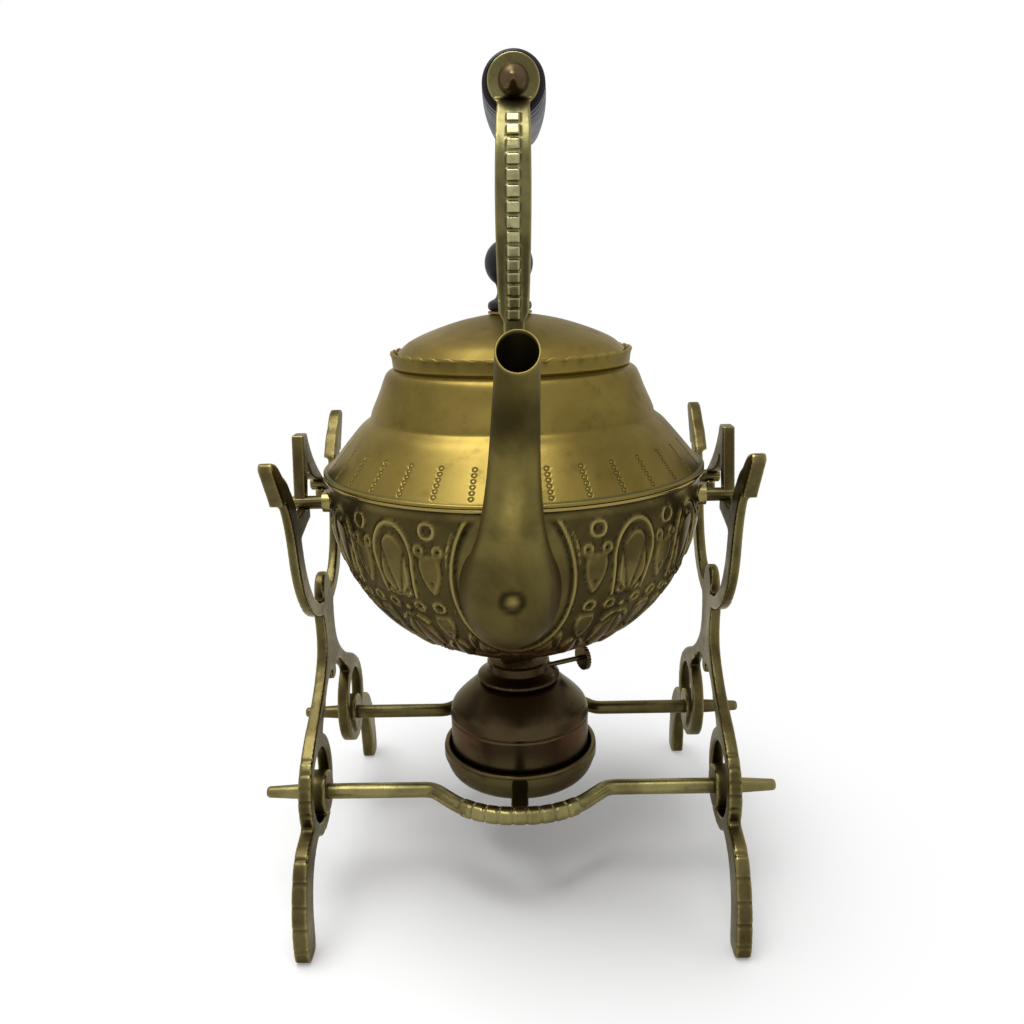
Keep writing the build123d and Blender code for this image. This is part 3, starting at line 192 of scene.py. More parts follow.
shoulder_low, shoulder_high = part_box("kettle_shoulder")
KETTLE_Y = (shoulder_low.y + shoulder_high.y) / 2       # the kettle's own axis
BOWL_R = 68.5
BOWL_RIM_Z = 157.2
BOWL_TOP_Z = 150.0          # the upright wall ends here, and the round of the bowl begins
BOWL_DEPTH = 64.0           # half height of the ellipse that the round follows
BOWL_SWEEP = 1.321          # angle of that ellipse down to the flat bottom, radians
BOWL_FLAT_Z = 88.0
BOWL_COLUMNS = 720
SEAM_Z = 158.5
SEAM_R = 70.0
SHEET_MM = 1.1
MOTIF_PITCH = math.radians(24.15)
FIRST_MOTIF = math.radians(23.0)
PATTERN_UP = 4.2            # the pattern starts this far above the bowl's rim
CHASING = 0.95              # height of the chased work
OVAL_ACROSS = 19.0          # half width, half height and middle of the plain oval round the spout
OVAL_DOWN = 31.5
OVAL_MIDDLE = 27.0
OVAL_MM = 22.0              # one part of its size, on the sheet


def skin_mesh(name, points, closed_profile=False, **shades):
    """Mesh of a grid of points in millimetres on the kettle's axis. The first index runs along the
    profile and the second round the axis, where the last column joins the first. An open profile gets a
    point in the middle of each end. Each shade is a point attribute with one number per grid point."""
    rows, columns, _ = points.shape
    index = np.arange(rows * columns).reshape(rows, columns)
    if closed_profile:
        index = np.vstack([index, index[:1]])
    beside = np.roll(index, -1, axis=1)
    quads = np.stack([index[:-1], beside[:-1], beside[1:], index[1:]], axis=-1).reshape(-1, 4)
    flat = points.reshape(-1, 3)
    values = {shade: np.asarray(value, float).reshape(-1) for shade, value in shades.items()}
    faces = [quads.tolist()]
    if not closed_profile:
        for number, row in enumerate((0, -1)):
            centre = len(flat)
            flat = np.vstack([flat, points[row].mean(axis=0)])
            values = {shade: np.append(value, value[index[row]].mean()) for shade, value in values.items()}
            ring, following = index[row], beside[row]
            fan = np.stack([following, ring] if number == 0 else [ring, following], axis=-1)
            faces.append(np.column_stack([fan, np.full(columns, centre)]).tolist())
    corners = flat[quads]
    volume = np.einsum("ij,ij->i", corners[:, 0], np.cross(corners[:, 1], corners[:, 2])).sum()
    volume += np.einsum("ij,ij->i", corners[:, 0], np.cross(corners[:, 2], corners[:, 3])).sum()
    faces = [face if volume > 0 else face[::-1] for group in faces for face in group]
    mesh = bpy.data.meshes.new(name)
    place = flat * MM
    place[:, 1] += KETTLE_Y
    mesh.from_pydata(place.tolist(), [], faces)
    for shade, value in values.items():
        mesh.attributes.new(shade, "FLOAT", "POINT").data.foreach_set("value", value)
    mesh.shade_smooth()
    piece = bpy.data.objects.new(name, mesh)
    bpy.context.scene.collection.objects.link(piece)
    return piece


def round_angles(columns):
    """Even angles round the kettle's axis, from the spout's side."""
    return np.arange(columns) * 2 * np.pi / columns


def turned(profile, angles):
    """Grid of points of a profile of radii and heights, turned round the kettle's axis by the angles."""
    profile = np.asarray(profile, float)
    return np.stack([profile[:, :1] * np.sin(angles), -profile[:, :1] * np.cos(angles),
                     np.broadcast_to(profile[:, 1:], (len(profile), len(angles)))], axis=-1)


def push(rows, height, normal, angles):
    """Moves rows of a turned grid by the height along the sheet's normal, which is given as its outward
    and its upward part."""
    rows[:, :, 0] += height * normal[:, :1] * np.sin(angles)
    rows[:, :, 1] -= height * normal[:, :1] * np.cos(angles)
    rows[:, :, 2] += height * normal[:, 1:]


def bump(distance, width):
    """Round-topped swelling: 1 at distance 0, falling as a cosine to 0 at the width."""
    return 0.5 + 0.5 * np.cos(np.pi * np.clip(np.abs(distance) / width, 0.0, 1.0))


def rise(value, low, high):
    """Smooth step from 0 at low to 1 at high."""
    share = np.clip((value - low) / (high - low), 0.0, 1.0)
    return share * share * (3.0 - 2.0 * share)


def bowl_radius(height, inset=0.0):
    """Radius of the bowl's sheet at a height: constant up the wall and an ellipse's below it, with both
    of the ellipse's halves less by the inset."""
    sunk = np.minimum(0, height - BOWL_TOP_Z) / (BOWL_DEPTH - inset)
    return (BOWL_R - inset) * np.sqrt(1 - sunk ** 2)


def medallion(across, down, middle, radius):
    """Raised round-topped ring of the radius, round a point on the motif's own line."""
    return bump(np.hypot(across, down - middle) - radius, 1.25)


def shield(across, down, top, bottom, half):
    """Raised field: half as wide as an arch that is widest near the top and runs to a point at the
    bottom, with soft edges and a pit two thirds of the way down."""
    share = np.clip((down - top) / (bottom - top), 0.0, 1.0)
    edge = half * np.sin(np.pi * (0.12 + 0.88 * share)) ** 0.5 * (1.0 - 0.45 * share)
    field = rise(edge - np.abs(across), -0.3, 1.4)
    field = field * rise(down, top - 0.2, top + 1.0) * rise(-down, -bottom - 0.2, -bottom + 1.2)
    pit = bump(np.hypot(across, down - bottom + 0.33 * (bottom - top)), 1.15)
    return field * (1.0 - 0.9 * pit)


def arch(across, down, top, spring, foot, half):
    """Raised band round an arched field: half an ellipse from the top to the springing line, then sides
    that draw in a little down to the foot."""
    legs = half - 0.10 * np.maximum(down - spring, 0.0)
    reach = np.hypot(across / legs, np.minimum(down - spring, 0.0) / (spring - top))
    return bump((reach - 1.0) * half, 1.3) * rise(-down, -foot, -foot + 1.0)


def palm(across, down, foot, length, half, leaves, opening):
    """Fan of leaves from a foot, upwards for a positive length: each leaf swells as a cosine across its
    share of the opening, and the fan ends in scallops at the length or at the half width."""
    towards = (foot - down) * np.sign(length)
    angle = np.arctan2(across, towards)
    reach = np.hypot(across, towards)
    limit = np.minimum(abs(length), half / np.maximum(np.abs(np.sin(angle)), 0.05))
    leaf = np.abs(np.cos(angle * leaves / opening * np.pi / 2))
    limit = limit * (0.84 + 0.16 * leaf)
    inside = rise(limit - reach, 0.0, 1.4) * rise(reach, 0.6, 2.2) * (np.abs(angle) < opening)
    return inside * (0.1 + 0.9 * leaf**0.6)


def chasing(angle, down):
    """Height of the chased work, 0 on the ground to about 1, from the angle round the axis and the way
    down the sheet in millimetres. The motifs repeat at the pitch from the spout round: medallion, shield
    with two scrolls, medallion, shield and palm, and between them an arch over a palm, with scrolls, a
    boss and a spray of leaves under it, and a waving cord along the bottom."""
    turn = np.mod(angle, 2 * np.pi)
    step = np.floor((turn - FIRST_MOTIF) / MOTIF_PITCH + 0.5)
    across = BOWL_R * (turn - FIRST_MOTIF - step * MOTIF_PITCH)
    half_step = np.floor((turn - FIRST_MOTIF) / MOTIF_PITCH)
    between = BOWL_R * (turn - FIRST_MOTIF - (half_step + 0.5) * MOTIF_PITCH)
    cord = down - 71.0 - 1.6 * np.cos(4 * np.pi * across / (BOWL_R * MOTIF_PITCH))
    return np.maximum.reduce([
        medallion(across, down, middle=10.9, radius=2.55),
        0.85 * medallion(np.abs(across) - 3.4, down, middle=17.6, radius=1.5),
        0.85 * shield(across, down, top=18.5, bottom=34.5, half=5.4),
        0.9 * medallion(across, down, middle=39.6, radius=2.1),
        0.85 * shield(across, down, top=43.5, bottom=58.0, half=5.2),
        palm(across, down, foot=56.0, length=-17.0, half=6.0, leaves=3, opening=1.0),
        arch(between, down, top=9.5, spring=21.0, foot=37.0, half=7.9),
        palm(between, down, foot=37.5, length=25.0, half=5.9, leaves=5, opening=1.25),
        0.85 * medallion(np.abs(between) - 6.0, down, middle=40.2, radius=1.9),
        bump(np.hypot(between, down - 41.5), 2.2),
        palm(between, down, foot=43.5, length=-25.0, half=7.4, leaves=5, opening=1.2),
        0.7 * bump(cord, 1.2),
    ])


# the sheet's profile: folded lip, outside, flat bottom, inside
bowl_angles = round_angles(BOWL_COLUMNS)
outer_z = np.concatenate([np.linspace(BOWL_RIM_Z, BOWL_TOP_Z, 9)[:-1],
                          BOWL_TOP_Z - BOWL_DEPTH * np.sin(np.linspace(0, BOWL_SWEEP, 97))])
outer_r = bowl_radius(outer_z)
outside = np.column_stack([outer_r, outer_z])
inner_z = np.linspace(BOWL_FLAT_Z + SHEET_MM, SEAM_Z, 16)
lip = [(67.6, SEAM_Z), (69.6, SEAM_Z), (SEAM_R, 158.2), (SEAM_R, 157.6), (69.6, BOWL_RIM_Z)]
flat_bottom = [(9.0, BOWL_FLAT_Z), (1.0, BOWL_FLAT_Z), (1.0, inner_z[0]), (9.0, inner_z[0])]
bowl_inside = np.column_stack([bowl_radius(inner_z, SHEET_MM), inner_z])
bowl_grid = turned(np.vstack([lip, outside, flat_bottom, bowl_inside]), bowl_angles)
first, last = len(lip), len(lip) + len(outside)

# the pattern, left out of the oval round the spout, with a bead round it, and behind the side brackets
way_down = np.concatenate([[0.0], np.cumsum(np.hypot(*np.diff(outside, axis=0).T))])[:, None]
around = np.broadcast_to(bowl_angles, (len(outside), BOWL_COLUMNS))
from_spout = np.minimum(around, 2 * np.pi - around)
oval = np.hypot(BOWL_R * from_spout / OVAL_ACROSS, (way_down - OVAL_MIDDLE) / OVAL_DOWN)
chased = np.where(oval < 1.16, 0.0, chasing(around, way_down + PATTERN_UP))
chased = chased + 0.8 * bump((oval - 1.08) * OVAL_MM, 1.5)
from_bracket = np.abs(from_spout - np.pi / 2) * BOWL_R
covered = (1.0 - rise(from_bracket, 16.0, 20.0)) * (1.0 - rise(way_down, 22.0, 26.0))
ornament = rise(way_down, 2.0, 3.6) * rise(-way_down, -75.0, -69.0)
chased = chased * ornament * (1.0 - covered)
steepness = np.column_stack([outer_r / BOWL_R**2,
                             (outer_z - BOWL_TOP_Z) / BOWL_DEPTH**2 * (outer_z < BOWL_TOP_Z)])
push(bowl_grid[first:last], CHASING * chased, steepness / np.hypot(*steepness.T)[:, None], bowl_angles)

# dirt on the ground, at the foot of the relief and round the oval, and heat on the underside
ground = np.zeros(bowl_grid.shape[:2])
ground[first:last] = 0.42 * (1.0 - rise(chased, 0.05, 0.5)) + 0.5 * bump(chased - 0.16, 0.16)
ground[first:last] *= ornament * (1.0 - covered) * (oval > 1.0)
ground[first:last] += 0.6 * bump((oval - 0.99) * OVAL_MM, 1.2) * ornament
ground[last:] = 0.5
heated = np.zeros(bowl_grid.shape[:2])
heated[first:last] = rise(way_down, 42.0, 78.0)

BOWL = weathered("chased_brass", bright=(0.125, 0.097, 0.032), dull=(0.070, 0.053, 0.018),
                 grime_and_shade=(0.013, 0.010, 0.004), gloss=0.24, patch=34.0, dirt=0.35, attribute_dirt_and_shade=True, edges=0.9,
                 wear_and_highlight_gain=2.4, flush_and_highlight=(0.15, 0.062, 0.020))
bowl = skin_mesh("chased_bowl", bowl_grid, closed_profile=True, ground=np.clip(ground, 0, 1), stain=heated)

# nine strainer holes behind the spout, in three rows of which the middle one is set half a pitch over
HOLE_R = 1.6
HOLE_PITCH = 6.0
HOLE_ROW = HOLE_PITCH * math.sin(math.radians(60))
HOLE_MIDDLE_Z = 136.0
HOLE_SIDES = 24
DRILL_Y = (-80.0, -45.0)    # from outside the bowl to inside it
drill = bmesh.new()
for hole in range(9):
    row, column = divmod(hole, 3)
    hole_x = HOLE_PITCH * (column - 1 + 0.5 * (row % 2) - 0.167)
    hole_z = HOLE_MIDDLE_Z + HOLE_ROW * (row - 1)
    near, far = ([drill.verts.new(((hole_x + HOLE_R * math.cos(turn)) * MM, y * MM + KETTLE_Y,
                                   (hole_z + HOLE_R * math.sin(turn)) * MM)) for turn in round_angles(HOLE_SIDES)]
                 for y in DRILL_Y)
    for step in range(HOLE_SIDES):
        after = (step + 1) % HOLE_SIDES
        drill.faces.new((near[step], far[step], far[after], near[after]))
    drill.faces.new(near)
    drill.faces.new(far)
bmesh.ops.recalc_face_normals(drill, faces=drill.faces)
drill_mesh = bpy.data.meshes.new("strainer_drill")
drill.to_mesh(drill_mesh)
drill.free()
drill_piece = bpy.data.objects.new("strainer_drill", drill_mesh)
bpy.context.scene.collection.objects.link(drill_piece)
holes = bowl.modifiers.new("strainer", "BOOLEAN")
holes.operation = "DIFFERENCE"
holes.solver = "EXACT"
holes.object = drill_piece
drilled = bpy.data.meshes.new_from_object(bowl.evaluated_get(bpy.context.evaluated_depsgraph_get()))
bowl.modifiers.clear()
bowl.data = drilled
bpy.data.objects.remove(drill_piece)
fit(bowl, BOWL, "kettle", "kettle_bowl")

# ---------------------------------------------------------------- kettle's shoulder
# Spun brass: a cone, a soft step and a dome up to the mouth. It laps over the bowl's lip, where
# verdigris has gathered, and its cone is punched with columns of six small rings.

CONE_FOOT = (68.5, 159.8)
CONE_TOP = (59.7, 170.3)
CONE_NORMAL = np.array([[0.766, 0.642]])
CONE_ROUND = 430.4          # way round its foot
PUNCH_COLUMNS = 34
PUNCH_ROWS = 6
PUNCH_PITCH = 2.05
PUNCH_FIRST = 1.7           # from the cone's foot to the lowest ring
PUNCH_R = 0.72
PUNCH_LINE = 0.34           # half width of a ring's groove
PUNCH_DEPTH = 0.22
PUNCH_STRIP = 1.25          # half width of the finely divided strip under a column


def swept(points, steps):
    """Smooth line through points: a cubic between each two, its slope at a point being that of the line
    between the point's neighbours. Returns the number of steps asked for in each gap, and the last point."""
    points = np.asarray(points, float)
    slopes = np.gradient(points, axis=0)
    share = (np.arange(steps) / steps)[:, None]
    pieces = []
    for start, end, slope, next_slope in zip(points, points[1:], slopes, slopes[1:]):
        pieces.append((2 * share**3 - 3 * share**2 + 1) * start + (share**3 - 2 * share**2 + share) * slope
                      + (3 * share**2 - 2 * share**3) * end + (share**3 - share**2) * next_slope)
    return np.vstack(pieces + [points[-1:]])


column_mm = CONE_ROUND / PUNCH_COLUMNS
offsets = np.concatenate([np.linspace(-PUNCH_STRIP, PUNCH_STRIP, 14),
                          np.linspace(PUNCH_STRIP, column_mm - PUNCH_STRIP, 9)[1:-1]]) / BOWL_R
punch_angles = (np.arange(PUNCH_COLUMNS)[:, None] * 2 * np.pi / PUNCH_COLUMNS + offsets).reshape(-1)
hem = [(67.5, SEAM_Z), (69.6, SEAM_Z), (70.0, 158.8), (70.0, 159.4), (69.6, 159.8)]
cone = np.linspace(CONE_FOOT, CONE_TOP, 70)
step_and_dome = swept([CONE_TOP, (55.8, 174.7), (52.9, 177.0), (51.8, 178.2), (51.2, 180.4), (48.2, 187.0),
                       (45.6, 193.2), (42.9, 195.2)], 6)[1:]
shoulder_in = [(39.8, 195.2), (39.8, 194.1), (42.2, 194.1), (44.7, 192.4), (47.1, 186.7), (50.1, 179.9),
               (51.0, 177.5), (54.9, 173.9), (59.0, 169.5), (67.4, 159.4)]
shoulder_grid = turned(np.vstack([hem, cone, step_and_dome, shoulder_in]), punch_angles)

first, last = len(hem), len(hem) + len(cone)
up_cone = np.hypot(*(cone - cone[0]).T)[:, None]
ring_row = np.clip(np.round((up_cone - PUNCH_FIRST) / PUNCH_PITCH), 0, PUNCH_ROWS - 1)
across = np.tile(offsets * BOWL_R, PUNCH_COLUMNS)
across = np.where(across > column_mm / 2, across - column_mm, across)
reach = np.hypot(across * cone[:, :1] / BOWL_R, up_cone - PUNCH_FIRST - ring_row * PUNCH_PITCH)
struck = bump(reach - PUNCH_R, PUNCH_LINE)
push(shoulder_grid[first:last], -PUNCH_DEPTH * struck, CONE_NORMAL, punch_angles)
marks = np.zeros(shoulder_grid.shape[:2])
marks[:first] = 0.25
# the punched rings are dark with grime, and painted shade makes them darker on the right side than on the left
marks[first:last] = struck * (0.72 + 0.28 * np.sin(punch_angles))
verdigris = np.zeros(shoulder_grid.shape[:2])
verdigris[3:9] = np.array([0.3, 0.9, 1.0, 0.9, 0.5, 0.2])[:, None] * (0.75 + 0.25 * np.sin(5 * punch_angles + 1.0))

SHEET = weathered("sheet_brass", bright=(0.205, 0.150, 0.036), dull=(0.120, 0.086, 0.021),
                  grime_and_shade=(0.032, 0.023, 0.008), gloss=0.32, patch=16.0, dirt=0.3, attribute_dirt_and_shade=True, edges=0.4,
                  flush_and_highlight=(0.035, 0.06, 0.035))
shoulder = skin_mesh("punched_shoulder", shoulder_grid, closed_profile=True, ground=marks, stain=verdigris)
fit(shoulder, SHEET, "kettle", "kettle_shoulder")

# ---------------------------------------------------------------- gallery round the mouth
# A strip of brass soldered on the shoulder round the lid. It flares a little, and its edge is filed in
# shallow scallops, none quite like the next.

SCALLOPS = 44
SCALLOP_DEPTH = 0.9

gallery_angles = round_angles(SCALLOPS * 12)
uneven = 0.5 * np.sin(3 * gallery_angles + 0.7) + 0.35 * np.sin(7 * gallery_angles)
wave = 0.5 + 0.5 * np.cos(SCALLOPS * gallery_angles + 0.8 * uneven)
gallery_profile = np.array([(41.8, 195.2), (42.9, 195.2), (42.95, 196.6), (43.1, 198.4), (43.4, 199.9),
                            (43.68, 200.8), (43.5, 201.2), (43.1, 201.3), (42.7, 201.1), (42.3, 199.8),
                            (41.9, 197.6), (41.8, 196.2)])
gallery_grid = turned(gallery_profile, gallery_angles)
filed = rise(gallery_profile[:, 1], 199.6, 201.0)[:, None]
gallery_grid[:, :, 2] -= filed * SCALLOP_DEPTH * wave**2 * (0.8 + 0.25 * uneven)
# the dips of the scallops are painted darker: painted shade
gallery = skin_mesh("scalloped_gallery", gallery_grid, closed_profile=True, ground=0.7 * filed * wave**2)
fit(gallery, SHEET, "kettle", "gallery_rim")

# ---------------------------------------------------------------- spout
# Two brass pressings soldered into one curved tube, swelling to a bulb on the bowl and thin at its lip.
# The inside is darker, a painted highlight runs halfway up the front, and the bulb has a dent with a painted
# highlight in it and a ring of painted shade round it.

SPOUT_LEAN = math.radians(3.2)
SPOUT_COLUMNS = 120
SPOUT_WALL = 1.0
SPOUT_THINNED = 0.4         # the wall is this much thinner at the lip
SPOUT_ROLL = 0.3            # height of the lip's round edge
SEATING = 0.5               # the tube goes this far into the bowl's sheet
# each section's way out from the bowl, height over the bowl's round, width, depth and lean in degrees
SPOUT_SECTIONS = [(-10.5, -19, 33, 40, 75), (0.5, -16, 31.5, 37, 62), (8.5, -7.5, 27, 27, 33),
                  (12.5, 6, 19.6, 19.6, 12), (15.5, 22, 15.6, 15.6, 9), (18.9, 38, 13.8, 13.8, 13),
                  (22.5, 50, 12.8, 12.8, 20), (26, 58, 12.4, 14.8, 48)]
DENT = np.array([0.0, -BOWL_R - 20.0, 135.5])
DENT_SIZE = np.array([3.6, 9.0, 3.4])
DENT_DEPTH = 0.98


def spout_skin(sections, inset):
    """Rings of the spout: each is an ellipse of the section's width and depth, less the inset all round,
    on a plane that leans with the spout's middle line, and the line leans a little to the right. Points
    that would lie inside the bowl are moved out to its sheet."""
    out, up_by, width, depth, lean = (sections[:, number, None] for number in range(5))
    lean = np.radians(lean)
    angle = round_angles(SPOUT_COLUMNS)
    along = (depth / 2 - inset) * np.sin(angle)
    x = math.tan(SPOUT_LEAN) * up_by + (width / 2 - inset) * np.cos(angle)
    y = -BOWL_R - out - along * np.cos(lean)
    z = BOWL_TOP_Z + up_by - along * np.sin(lean)
    sheet = bowl_radius(np.maximum(z, BOWL_TOP_Z - 0.99 * BOWL_DEPTH)) - SEATING
    grow = np.maximum(1.0, np.where(z < SEAM_Z, sheet, 0.0) / np.hypot(x, y))
    return np.stack([x * grow, y * grow, z], axis=-1)


spout_sections = swept(SPOUT_SECTIONS, 12)
rings = len(spout_sections)
spout_wall = SPOUT_WALL - SPOUT_THINNED * rise(np.arange(rings), rings - 22, rings - 1)[:, None]
spout_out = spout_skin(spout_sections, 0.0)
spout_in = spout_skin(spout_sections, spout_wall)[::-1]
lip_way = spout_out[-1] - spout_out[-2]
lip_way = SPOUT_ROLL * lip_way / np.linalg.norm(lip_way, axis=1, keepdims=True)
spout_grid = np.concatenate([spout_out, ((spout_out[-1] + spout_in[0]) / 2 + lip_way)[None], spout_in])
ring_number = np.arange(len(spout_grid))[:, None]
sunk_in = DENT_DEPTH * np.exp(-np.sum(((spout_grid - DENT) / DENT_SIZE) ** 2, axis=-1))
spout_grid[:, :, 1] += sunk_in * (ring_number < rings)

# painted shade darkens the neck, the low part by the bulb and a ring round the dent, over an even dark tone, and a
# painted highlight lightens a streak up the front and the dent's middle
x, y, height = np.moveaxis(spout_grid, -1, 0)
inside = (ring_number > rings) * np.ones(SPOUT_COLUMNS)
front = rise(-y, BOWL_R + 8.0, BOWL_R + 14.0)
from_dent = np.hypot(x - DENT[0], height - DENT[2])
highlight_streak = front * bump(x - 0.5 - 0.12 * (height - 163.0), 4.6) * bump(height - 163.0, 17.0)
shade_and_tone = 0.45 + 0.2 * rise(-height, -154.0, -142.0) + 0.3 * bump(height - 189.0, 13.0)
shade_and_tone += 0.3 * front * bump(from_dent - 3.2, 1.9)
shade_and_tone = np.minimum(shade_and_tone, 0.93) * (1.0 - highlight_streak) * (1.0 - 0.9 * front * bump(from_dent, 2.4))
reddened = rise(-height, -150.0, -122.0) * (1 - inside)

SPOUT = weathered("spout_brass", bright=(0.310, 0.248, 0.072), dull=(0.140, 0.108, 0.030),
                  grime_and_shade=(0.010, 0.008, 0.004), gloss=0.25, patch=22.0, dirt=0.3, attribute_dirt_and_shade=True, edges=0.15,
                  flush_and_highlight=(0.125, 0.070, 0.028))
spout = skin_mesh("curved_spout", spout_grid, closed_profile=True,
                  ground=np.maximum(0.9 * inside, shade_and_tone * (1 - inside)), stain=reddened)
fit(spout, SPOUT, "kettle", "spout")

# ---------------------------------------------------------------- lid
# Raised in one piece from sheet, planished smooth, with an upright edge that drops over the mouth's
# bezel.

lid_top = swept([(41.0, 200.7), (36.5, 204.4), (28.4, 208.0), (18.0, 211.3), (8.0, 213.2), (1.7, 213.6)], 10)
lid_profile = np.vstack([[(40.0, 195.5), (41.0, 195.5), (41.0, 197.5), (41.0, 199.6)], lid_top,
                         [(1.7, 212.5), (8.0, 212.1), (18.0, 210.2), (28.0, 207.0), (36.0, 203.3),
                          (40.0, 200.2), (40.0, 197.5)]])
lid = skin_mesh("planished_lid", turned(lid_profile, round_angles(240)), closed_profile=True)
fit(lid, SHEET, "lid", "lid_dome")

# ---------------------------------------------------------------- lid's knob
# Turned from a black wood and polished: a flat foot, a thin neck and a ball.

BALL_R = 8.6
BALL_Z = 231.0

ball = np.radians(np.linspace(140, 0.5, 36))
knob_profile = np.vstack([
    [(1.7, 214.45), (6.6, 214.45)],
    swept([(6.6, 214.45), (7.5, 215.0), (7.9, 216.0), (7.7, 217.2), (7.0, 217.9), (5.2, 218.9), (4.5, 220.4),
           (4.45, 222.2), (5.0, 223.9), (5.53, 224.41)], 5)[1:],
    np.column_stack([BALL_R * np.sin(ball), BALL_Z + BALL_R * np.cos(ball)])[1:]])
EBONY = weathered("ebonised_wood", bright=(0.012, 0.009, 0.011), dull=(0.007, 0.005, 0.007),
                  grime_and_shade=(0.016, 0.015, 0.014), gloss=0.36, patch=60.0, dirt=0.5, edges=0.0,
                  metal=0.0, shine=0.18, sheen=(1.0, 1.0, 1.0))
knob = skin_mesh("turned_knob", turned(knob_profile, round_angles(96)))
fit(knob, EBONY, "lid", "lid_knob")

# ---------------------------------------------------------------- burner's cup
# A spun cup that the burner stands in, soldered on the ends of the stand's two short arms. Its rim is
# turned over.

cup_angles = round_angles(160)
cup_profile = np.vstack([[(6.0, 30.1)], swept([(19.5, 30.1), (27.5, 34.1), (30.6, 40.5)], 8),
                         [(30.6, 43.6), (30.4, 44.5), (29.8, 45.0), (29.0, 45.0), (28.4, 44.6), (28.2, 43.9),
                          (28.2, 40.5), (25.3, 36.4), (18.1, 32.5), (6.0, 32.5)]])
CUP = weathered("cup_brass", bright=(0.070, 0.054, 0.022), dull=(0.048, 0.031, 0.013),
                grime_and_shade=(0.012, 0.009, 0.005), patch=30.0, edges=0.5)
cup = skin_mesh("turned_cup", turned(cup_profile, cup_angles))
fit(cup, CUP, "stand", "burner_cup")

# ---------------------------------------------------------------- burner
# Two pressings, a deep pan and a domed top, soldered together. Heat and spirit have turned them dark
# brown, and a red flush is left along the seam.

BURNER_SEAM_Z = 55.0
FLUSH_REACH = 8.0

pan_profile = np.vstack([[(6.0, 32.8)], swept([(16.5, 32.8), (24.2, 37.2), (27.2, 41.0), (27.4, 45.0)], 6),
                         [(27.4, 50.0), (27.4, 54.0), (27.45, 56.0), (27.6, 57.15), (26.4, 57.2), (26.4, 43.0),
                          (23.3, 38.3), (15.9, 33.8), (6.0, 33.8)]])
dome_profile = np.vstack([[(27.3, 57.25), (27.6, 57.3)],
                          swept([(27.5, 58.4), (26.6, 61.6), (24.1, 64.6), (20.6, 67.9), (16.8, 71.3)], 6),
                          [(9.0, 71.3), (9.0, 70.3), (16.3, 70.3), (23.3, 64.1), (25.6, 61.2), (26.4, 57.3)]])
PAN = weathered("pan_brass", bright=(0.060, 0.044, 0.021), dull=(0.034, 0.022, 0.011),
                grime_and_shade=(0.011, 0.008, 0.005), gloss=0.28, patch=24.0, edges=0.3, wear_and_highlight_gain=1.4,
                flush_and_highlight=(0.075, 0.034, 0.018))
for name, node, profile, closed in (("burner_pan", "burner_font", pan_profile, False),
                                    ("burner_dome", "burner_shoulder", dome_profile, True)):
    reddish = bump(profile[:, 1] - BURNER_SEAM_Z, FLUSH_REACH)[:, None] * np.ones(len(cup_angles))
    fit(skin_mesh(name, turned(profile, cup_angles), closed_profile=closed, stain=reddish),
        PAN, "burner", node)

# ---------------------------------------------------------------- burner's collar, winder and wick
# Small turned brass parts as dark as the burner, and a flat-woven cotton wick, charred at its end. Their
# solids have the real shapes, so they only get their finish.


def finish(material, *nodes):
    """Gives CAD nodes that keep their own shape a material."""
    for node in nodes:
        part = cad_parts[node]
        part.data.materials.clear()
        part.data.materials.append(material)


BURNER = weathered("burner_brass", bright=(0.062, 0.044, 0.021), dull=(0.034, 0.022, 0.011),
                   grime_and_shade=(0.011, 0.008, 0.005), patch=24.0, edges=0.8)
COTTON = weathered("wick_cotton", bright=(0.30, 0.26, 0.19), dull=(0.12, 0.10, 0.07), grime_and_shade=(0.01, 0.01, 0.01),
                   gloss=0.8, metal=0.0)
finish(BURNER, "burner_collar", "wick_tube", "winder_shaft", "feed_wheel", "thumb_wheel")
finish(COTTON, "wick")

# ---------------------------------------------------------------- handle's arms
# Two cast and filed arms that meet the grip in flat eyes. A row of square beads runs down the outer
# face of each. Their tops are painted bright, partly as wear by hands and partly as a painted highlight,
# less so near the kettle.

ARM_CELL = 0.3 * MM
ARM_WEAR = 11
HANDLE_SHIFT = 1.5          # the handle stands to the right of the spout's plane and leans to the right
HANDLE_LEAN = math.radians(1.2)
HANDLE_FOOT_Z = 195.2
ARCH_Z = 235.0              # middle of the arch
BEAD_IN, BEAD_OUT = 1.5, 2.1                # half width of a bead, and where its side meets the arm
BEADS_FROM_Z, BEADS_TO_Z = 213.0, 275.0

